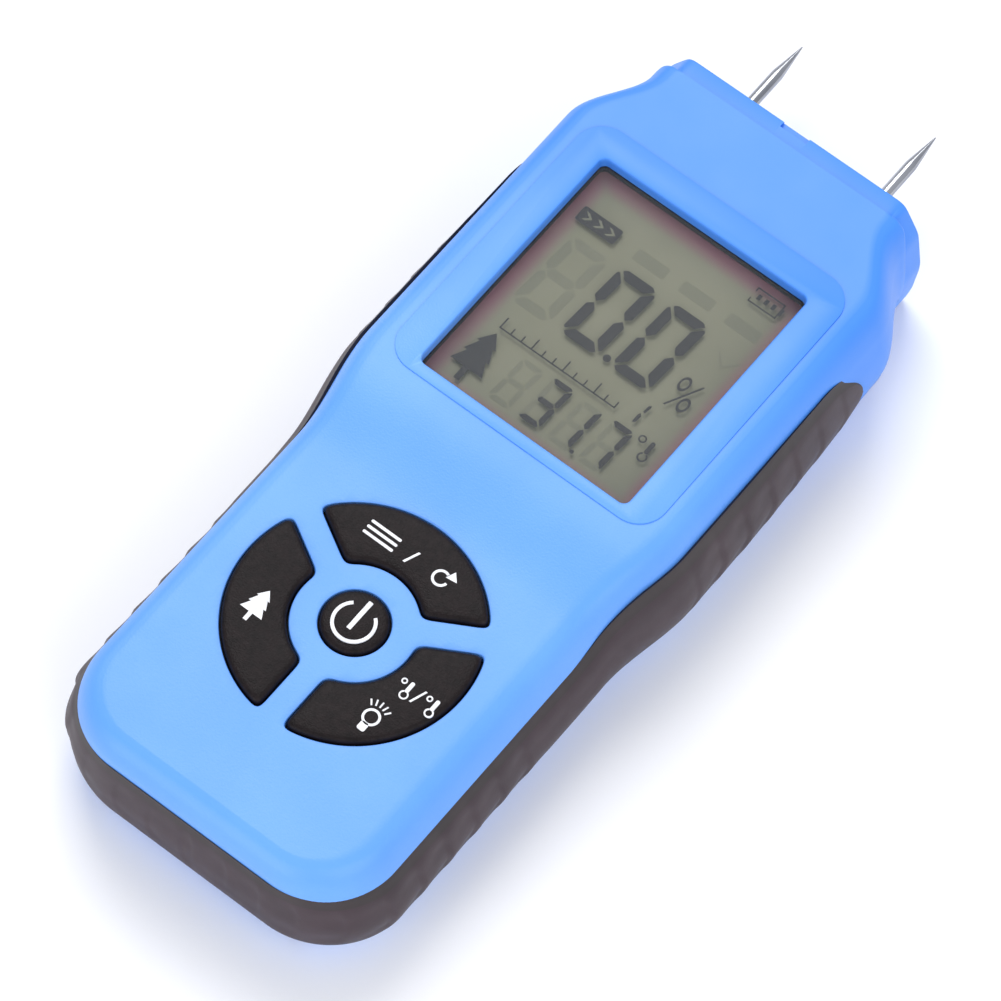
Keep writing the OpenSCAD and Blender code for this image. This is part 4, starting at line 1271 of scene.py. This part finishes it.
@dataclass
class Display:
    """Window lens, dark border, reflector and the liquid crystal marks that float above it."""

    shape: CaseShape
    depth: float = 0.75
    mark_t: float = 0.02
    lean: float = 0.05

    def at(self, x: float, y: float) -> tuple[float, float]:
        """Returns a place measured from the middle of the window."""
        return self.shape.window.x + x, self.shape.window.y + y

    def digit(self, solid: Solid, x: float, y: float, w: float, h: float, t: float, lit: str,
              z: float) -> None:
        """Adds the chosen segments of a leaning seven-segment digit.

        Args:
            solid: Solid that takes the segments.
            x: Left edge at the foot.
            y: Foot of the digit.
            w: Width.
            h: Height.
            t: Width of a segment.
            lit: Letters of the segments, a to g, clockwise from the top.
            z: Height of the marks.
        """
        gap, cut, m = 0.09 * t, 0.62 * t, h / 2
        across = [(cut + gap, 0), (w - cut - gap, 0), (w - gap - 0.25 * t, 0.3 * t), (w - t - 0.4 * gap, t),
                  (t + 0.4 * gap, t), (gap + 0.25 * t, 0.3 * t)]
        bar = [(0.6 * t, m), (0.95 * t, m - t / 2), (w - 0.95 * t, m - t / 2), (w - 0.6 * t, m),
               (w - 0.95 * t, m + t / 2), (0.95 * t, m + t / 2)]
        post = [(0, 0.75 * t), (0.2 * t, 0.55 * t), (t, t + 0.4 * t), (t, m - 0.7 * t),
                (0.5 * t, m - 1.2 * gap), (0, m - 0.55 * t)]
        flip = [(px, h - py) for px, py in reversed(post)]
        shapes = {"d": across, "a": [(px, h - py) for px, py in reversed(across)], "g": bar,
                  "e": post, "f": flip, "c": [(w - px, py) for px, py in reversed(post)],
                  "b": [(w - px, py) for px, py in reversed(flip)]}
        for letter in lit:
            solid.prism([self.at(x + px + self.lean * py, y + py) for px, py in shapes[letter]],
                        z, z + self.mark_t)

    def flat(self, solid: Solid, points: Iterable[Point], z: float) -> None:
        """Adds one flat mark, drawn from the middle of the window."""
        solid.prism([self.at(*p) for p in points], z, z + self.mark_t)

    def build_marks(self, z: float) -> None:
        """Builds the lit marks at a height, and the faint unlit ones below them."""
        lit, ghost, t = Solid(), Solid(), self.mark_t
        for x in (-7.55, 2.1):
            self.digit(lit, x, -3.8, 7.2, 14.8, 1.75, "abcdef", z)
        lit.prism(arc(self.at(1.1, -3.0), 0.65, 0, 342, 19), z, z + t)
        for x, on in ((-3.6, "abgcd"), (2.0, "bc"), (7.75, "abc")):
            self.digit(lit, x, -19.1, 4.1, 8.6, 0.95, on, z)
        lit.prism(arc(self.at(6.75, -18.9), 0.36, 0, 340, 17), z, z + t)

        for x, y in ((12.9, 0.85), (14.95, -2.15)):
            ring = Solid()
            ring.ring((0, 0), 0.95, 0.6, z, z + t)
            lit.add([(*self.at(x + 0.95 * px + 0.08 * py, y + 1.5 * py), pz)
                     for px, py, pz in ring.points], ring.faces)
        self.flat(lit, [(12.3, -3.8), (12.65, -3.8), (15.75, 2.2), (15.4, 2.2)], z)

        self.flat(lit, [(-14.4 + 0.9 * x, -15.1 + y) for x, y in fir((0, 0), 10)], z)
        lit.ring(self.at(13.7, -10.5), 0.68, 0.42, z, z + t)
        lit.ring(self.at(15.5, -13.0), 0.85, 0.55, z, z + t, 115, 425)
        self.flat(lit, rounded_box(0.75, 2.4, 0.35, (15.5, -11.1), 4), z)
        battery = (((11.4, 21.0), (16.6, 21.25)), ((11.4, 18.3), (16.6, 18.55)),
                   ((16.4, 18.3), (16.65, 21.25)), ((16.65, 19.1), (17.0, 20.4)),
                   ((11.4, 18.3), (11.62, 19.1)), ((11.4, 20.4), (11.62, 21.25)))
        for low, high in battery:
            lit.box((*self.at(*low), z), (*self.at(*high), z + t))
        self.flat(lit, rounded_box(7.4, 2.9, 0.4, (-14.0, 14.45), 4), z)
        arrows = Solid()
        arrow = ((-16.9, 13.7), (-16.3, 13.7), (-15.3, 14.45), (-16.3, 15.2), (-16.9, 15.2),
                 (-15.9, 14.45))
        for k in range(3):
            arrows.prism([self.at(x + 2.2 * k, y) for x, y in arrow], z + t, z + 1.6 * t)
        hand_over(arrows.piece("lcd_badge_arrows", [LCD_GHOST]), "meter", "lcd_glass")
        lit.box((*self.at(-14.8, -9.1), z), (*self.at(7.2, -8.85), z + t))
        for k in range(12):
            tall, way = 2.2 if k % 3 == 0 else 1.3, 1.98 * k
            lit.box((*self.at(-14.8 + way, -9.1), z), (*self.at(-14.55 + way, -9.1 + tall), z + t))
        self.flat(lit, [(10.6, -9.2), (11.1, -8.9), (11.2, -7.6), (10.8, -7.2), (10.55, -7.7)], z)
        self.flat(lit, [(10.9, -6.8), (11.3, -6.9), (11.5, -5.6), (11.4, -5.2), (11.0, -5.5)], z)
        hand_over(lit.piece("lcd_marks", [LCD_INK]), "meter", "lcd_glass")

        z -= self.depth - 0.05
        self.digit(ghost, -16.9, -3.8, 7.2, 14.8, 1.75, "abcdefg", z)
        for x, off in ((-9.3, "abcdefg"), (-3.6, "ef"), (2.0, "adefg"), (7.75, "defg")):
            self.digit(ghost, x, -19.1, 4.1, 8.6, 0.95, off, z)
        for x in (-3.9, 4.9, 13.7):
            self.flat(ghost, rounded_box(6.0, 2.2, 0.35, (x, 14.4), 4), z)
        self.flat(ghost, [(13.1, 8.9), (13.4, 8.6), (15.2, 6.6), (17.0, 8.6), (17.3, 8.9), (17.0, 9.1),
                          (15.2, 7.2), (13.4, 9.1)], z)
        hand_over(ghost.piece("lcd_unlit_marks", [LCD_GHOST]), "meter", "lcd_glass")
        bars = repeat_block("lcd_charge_bars", (0.65, 1.0, t), 3, (1.35, 0, 0),
                            (*self.at(12.6, 19.8), z + self.depth), LCD_INK)
        hand_over(bars, "meter", "lcd_glass")

    def build(self) -> None:
        """Builds the display and dresses the parts behind it."""
        s, glass_low, glass_high = self.shape, corner("lcd_glass", False), corner("lcd_glass", True)
        size = glass_high - glass_low
        rear = Reflector("rear_polariser", "lcd_glass", "#6b6a56", "#706f5b", 0.55, specular=0.15,
                         grain_mm=0.5, grain_depth=0.002, mottle_mm=14, centre=(s.window.x, s.window.y),
                         half=(s.window_w / 2 - 0.3, s.window_l / 2 - 0.3))
        panel = Solid()
        level = glass_high.z - self.depth
        panel.prism(rounded_box(size.x, size.y, 0.4, s.window[:2], 3), glass_low.z, level)
        hand_over(panel.piece("lcd_reflector", [rear]), "meter", "lcd_glass", "lcd_glass")
        self.build_marks(glass_high.z - 0.05)

        lens_low, lens_high = corner("window_lens", False), corner("window_lens", True)
        lens, play, lead = Solid(), 0.1, 0.2
        lens.stack(lambda grow: rounded_box(s.window_w - play + 2 * grow, s.window_l - play + 2 * grow,
                                            1.2, s.window[:2]),
                   [(lens_low.z, 0), (lens_high.z - lead, 0), (lens_high.z, -lead)])
        hand_over(lens.piece("window_lens_clear", [CLEAR_ACRYLIC]), "meter", "clear_lens",
                  "window_lens")

        border = Solid()
        side = 1.1
        outer = rounded_box(s.window_w + 2 * side, s.window_l + 2 * side, 1.8, s.window[:2])
        inner = rounded_box(s.window_w, s.window_l, 1.2, s.window[:2])
        n, low, high = len(outer), glass_high.z, lens_high.z
        points = [(x, y, z) for z in (low, high) for x, y in [*outer, *inner]]
        faces = []
        for i in range(n):
            j, up = (i + 1) % n, 2 * n
            faces += [(i, j, up + j, up + i), (n + j, n + i, up + n + i, up + n + j),
                      (up + i, up + j, up + n + j, up + n + i), (i, n + i, n + j, j)]
        border.add(points, faces)
        hand_over(border.piece("window_border", [BLACK_FOAM]), "meter", "black_foam", "window_gasket")
        for node, finish in (("lcd_frame", WHITE_PC), ("light_guide", GUIDE), ("zebra_strip", PINK_SILICONE),
                             ("backlight_leds", WHITE_PC)):
            dress_node(node, finish)


@dataclass
class Pins:
    """The two ground steel pins, their bushes, their block and their leads."""

    shank_r: float = 1.0
    thread_r: float = 1.3
    thread_len: float = 9.0
    point_len: float = 6.5

    def build_pin(self, node: str) -> None:
        """Turns one pin: thread, grooved shank and a long ground point."""
        low, high = corner(node, False), corner(node, True)
        middle = (low + high) / 2
        length, t, r = high.y - low.y, self.thread_len, self.shank_r
        profile = [(0.3, 0), (self.thread_r - 0.2, 0), (self.thread_r, 0.2),
                   (self.thread_r, t - 0.1), (r, t)]
        for k in range(3):
            at = t + 0.8 + 0.75 * k
            profile += [(r, at), (r - 0.12, at + 0.1), (r - 0.12, at + 0.3), (r, at + 0.4)]
        start = length - self.point_len
        profile += [(r, start - 0.2), (r - 0.02, start + 0.1)]
        tip, steps = 0.1, 12
        profile += [(r * (1 - k / steps) + tip * k / steps, start + self.point_len * k / steps)
                    for k in range(1, steps)]
        profile += [(tip, length - 0.05), (0.03, length)]
        pin = Solid()
        pin.lathe(profile, (middle.x, low.y, middle.z), (0, 1, 0), 48)
        hand_over(pin.piece(node + "_ground", [PIN_STEEL], 25), "meter", "pin_steel", node)

    def build(self) -> None:
        """Builds the pins and dresses what holds them."""
        for node in ("left_pin", "right_pin"):
            self.build_pin(node)
        dress_node("pin_bushes", BRASS)
        dress_node("pin_block", BLACK_PLASTIC)
        dress_node("pin_leads", WIRE_BLACK)


@dataclass
class Electronics:
    """Board, parts, keypad mat, contacts and cells."""

    cell_r: float = 5.25
    cell_len: float = 44.5
    cell_pitch: float = 11.2

    def build_cells(self) -> None:
        """Turns the three cells, which lie head to tail, with sleeve, band, cap and button."""
        low, high = corner("cells", False), corner("cells", True)
        z = (low.z + high.z) / 2
        r, n = self.cell_r, self.cell_len
        for i in range(3):
            way = 1 if i % 2 == 0 else -1
            base = (self.cell_pitch * (i - 1), low.y if way > 0 else high.y, z)
            axis, seam = (0, way, 0), n * 0.7
            body, cap = Solid(), Solid()
            body.lathe([(r - 1.2, 0.15), (r - 0.3, 0.05), (r, 0.35), (r, seam)], base, axis, 56)
            body.lathe([(r, seam), (r, n - 1.4), (r - 0.3, n - 1.05), (r - 1.3, n - 1.0)], base, axis,
                       56, 1)
            cap.lathe([(r - 1.25, 0.1), (r - 1.25, n - 0.95), (1.9, n - 0.9), (1.9, n - 0.2),
                       (1.6, n)], base, axis, 40)
            hand_over(body.piece(f"cell_{i + 1}_sleeve", [CELL_FILM, CELL_BAND]), "meter",
                      "cell_jacket", *(["cells"] if i == 0 else []))
            hand_over(cap.piece(f"cell_{i + 1}_can", [NICKEL]), "meter", "nickel_steel")

    def build(self) -> None:
        """Builds the cells and dresses the rest."""
        self.build_cells()
        dressed = {"keypad_mat": GREY_SILICONE, "main_board": BOARD, "board_parts": CERAMIC,
                   "battery_leads": WIRE_RED}
        for node in ("controller_chip", "buzzer", "temperature_sensor"):
            dressed[node] = BLACK_PLASTIC
        for node in ("snap_domes", "board_screws", "contact_plates", "contact_springs"):
            dressed[node] = NICKEL
        for node, finish in dressed.items():
            dress_node(node, finish)


# ---------------------------------------------------------------- stage

@dataclass
class Studio:
    """Plain pale floor, soft lights and the camera."""

    aim: tuple[float, float, float] = (4.09, -14.83, 26.0)
    distance: float = 1024.6
    azimuth: float = 35.38
    elevation: float = 62.47
    roll: float = 3.28
    lens: float = 248.0
    floor_half: float = 2500.0
    floor_top: float = -0.05
    floor_low: float = -12.0
    surround: float = 0.68

    def build_floor(self) -> None:
        """Lays the floor just under the meter."""
        card = Finish("pale_card", "white_plastic", "#f6f6f7", "#f3f3f5", 0.9, mottle_mm=80,
                      grain_mm=1.0)
        half = self.floor_half
        solid = Solid()
        solid.box((-half, -half, self.floor_low), (half, half, self.floor_top))
        solid.piece("studio_floor", [card])

    def build_light(self, name: str, place: Point, size: float, power: float) -> None:
        """Hangs one soft square light that faces the meter.

        Args:
            name: Name of the light.
            place: Where it hangs.
            size: Length of its sides.
            power: Power in watts.
        """
        lamp = bpy.data.lights.new(name, "AREA")
        lamp.size, lamp.energy = size * MM, power
        made = bpy.data.objects.new(name, lamp)
        made.location = Vector(place) * MM
        made.rotation_mode = "QUATERNION"
        made.rotation_quaternion = (-Vector(place)).to_track_quat("-Z", "Y")
        bpy.context.scene.collection.objects.link(made)

    def build_camera(self) -> None:
        """Places the camera above the handle's right side."""
        a, e, r = (math.radians(x) for x in (self.azimuth, self.elevation, self.roll))
        back = Vector((math.sin(a) * math.cos(e), -math.cos(a) * math.cos(e), math.sin(e)))
        right = Vector((math.cos(a), math.sin(a), 0))
        up = back.cross(right)
        across = right * math.cos(r) + up * math.sin(r)
        above = up * math.cos(r) - right * math.sin(r)
        data = bpy.data.cameras.new("camera")
        data.lens, data.sensor_width = self.lens, 36
        data.clip_start, data.clip_end = 0.05, 20
        made = bpy.data.objects.new("camera", data)
        made.matrix_world = (Matrix.Translation((Vector(self.aim) + back * self.distance) * MM)
                             @ Matrix((across, above, back)).transposed().to_4x4())
        bpy.context.scene.collection.objects.link(made)
        bpy.context.scene.camera = made

    def build(self) -> None:
        """Builds floor, lights, surroundings and camera."""
        self.build_floor()
        self.build_light("key_light", (-380, 420, 860), 620, 6.4)
        self.build_light("fill_light", (700, -250, 520), 800, 3.4)
        self.build_light("low_light", (-100, -800, 260), 500, 2.2)
        world = bpy.data.worlds.new("studio")
        world.use_nodes = True
        sky = world.node_tree.nodes["Background"]
        sky.inputs["Color"].default_value = linear("#f4f7ff")
        sky.inputs["Strength"].default_value = self.surround
        bpy.context.scene.world = world
        bpy.context.scene.view_settings.view_transform = "Standard"
        self.build_camera()


def main() -> None:
    """Builds the studio and every sub-assembly in order."""
    logging.basicConfig(level=logging.INFO, format="%(message)s")
    shape = CaseShape()
    keypad = Keypad(shape)
    for part in (Studio(), Case(shape, keypad), Grip(shape), keypad, Display(shape), Pins(), Electronics()):
        log.info("building %s", type(part).__name__)
        part.build()


if __name__ == "__main__":
    main()
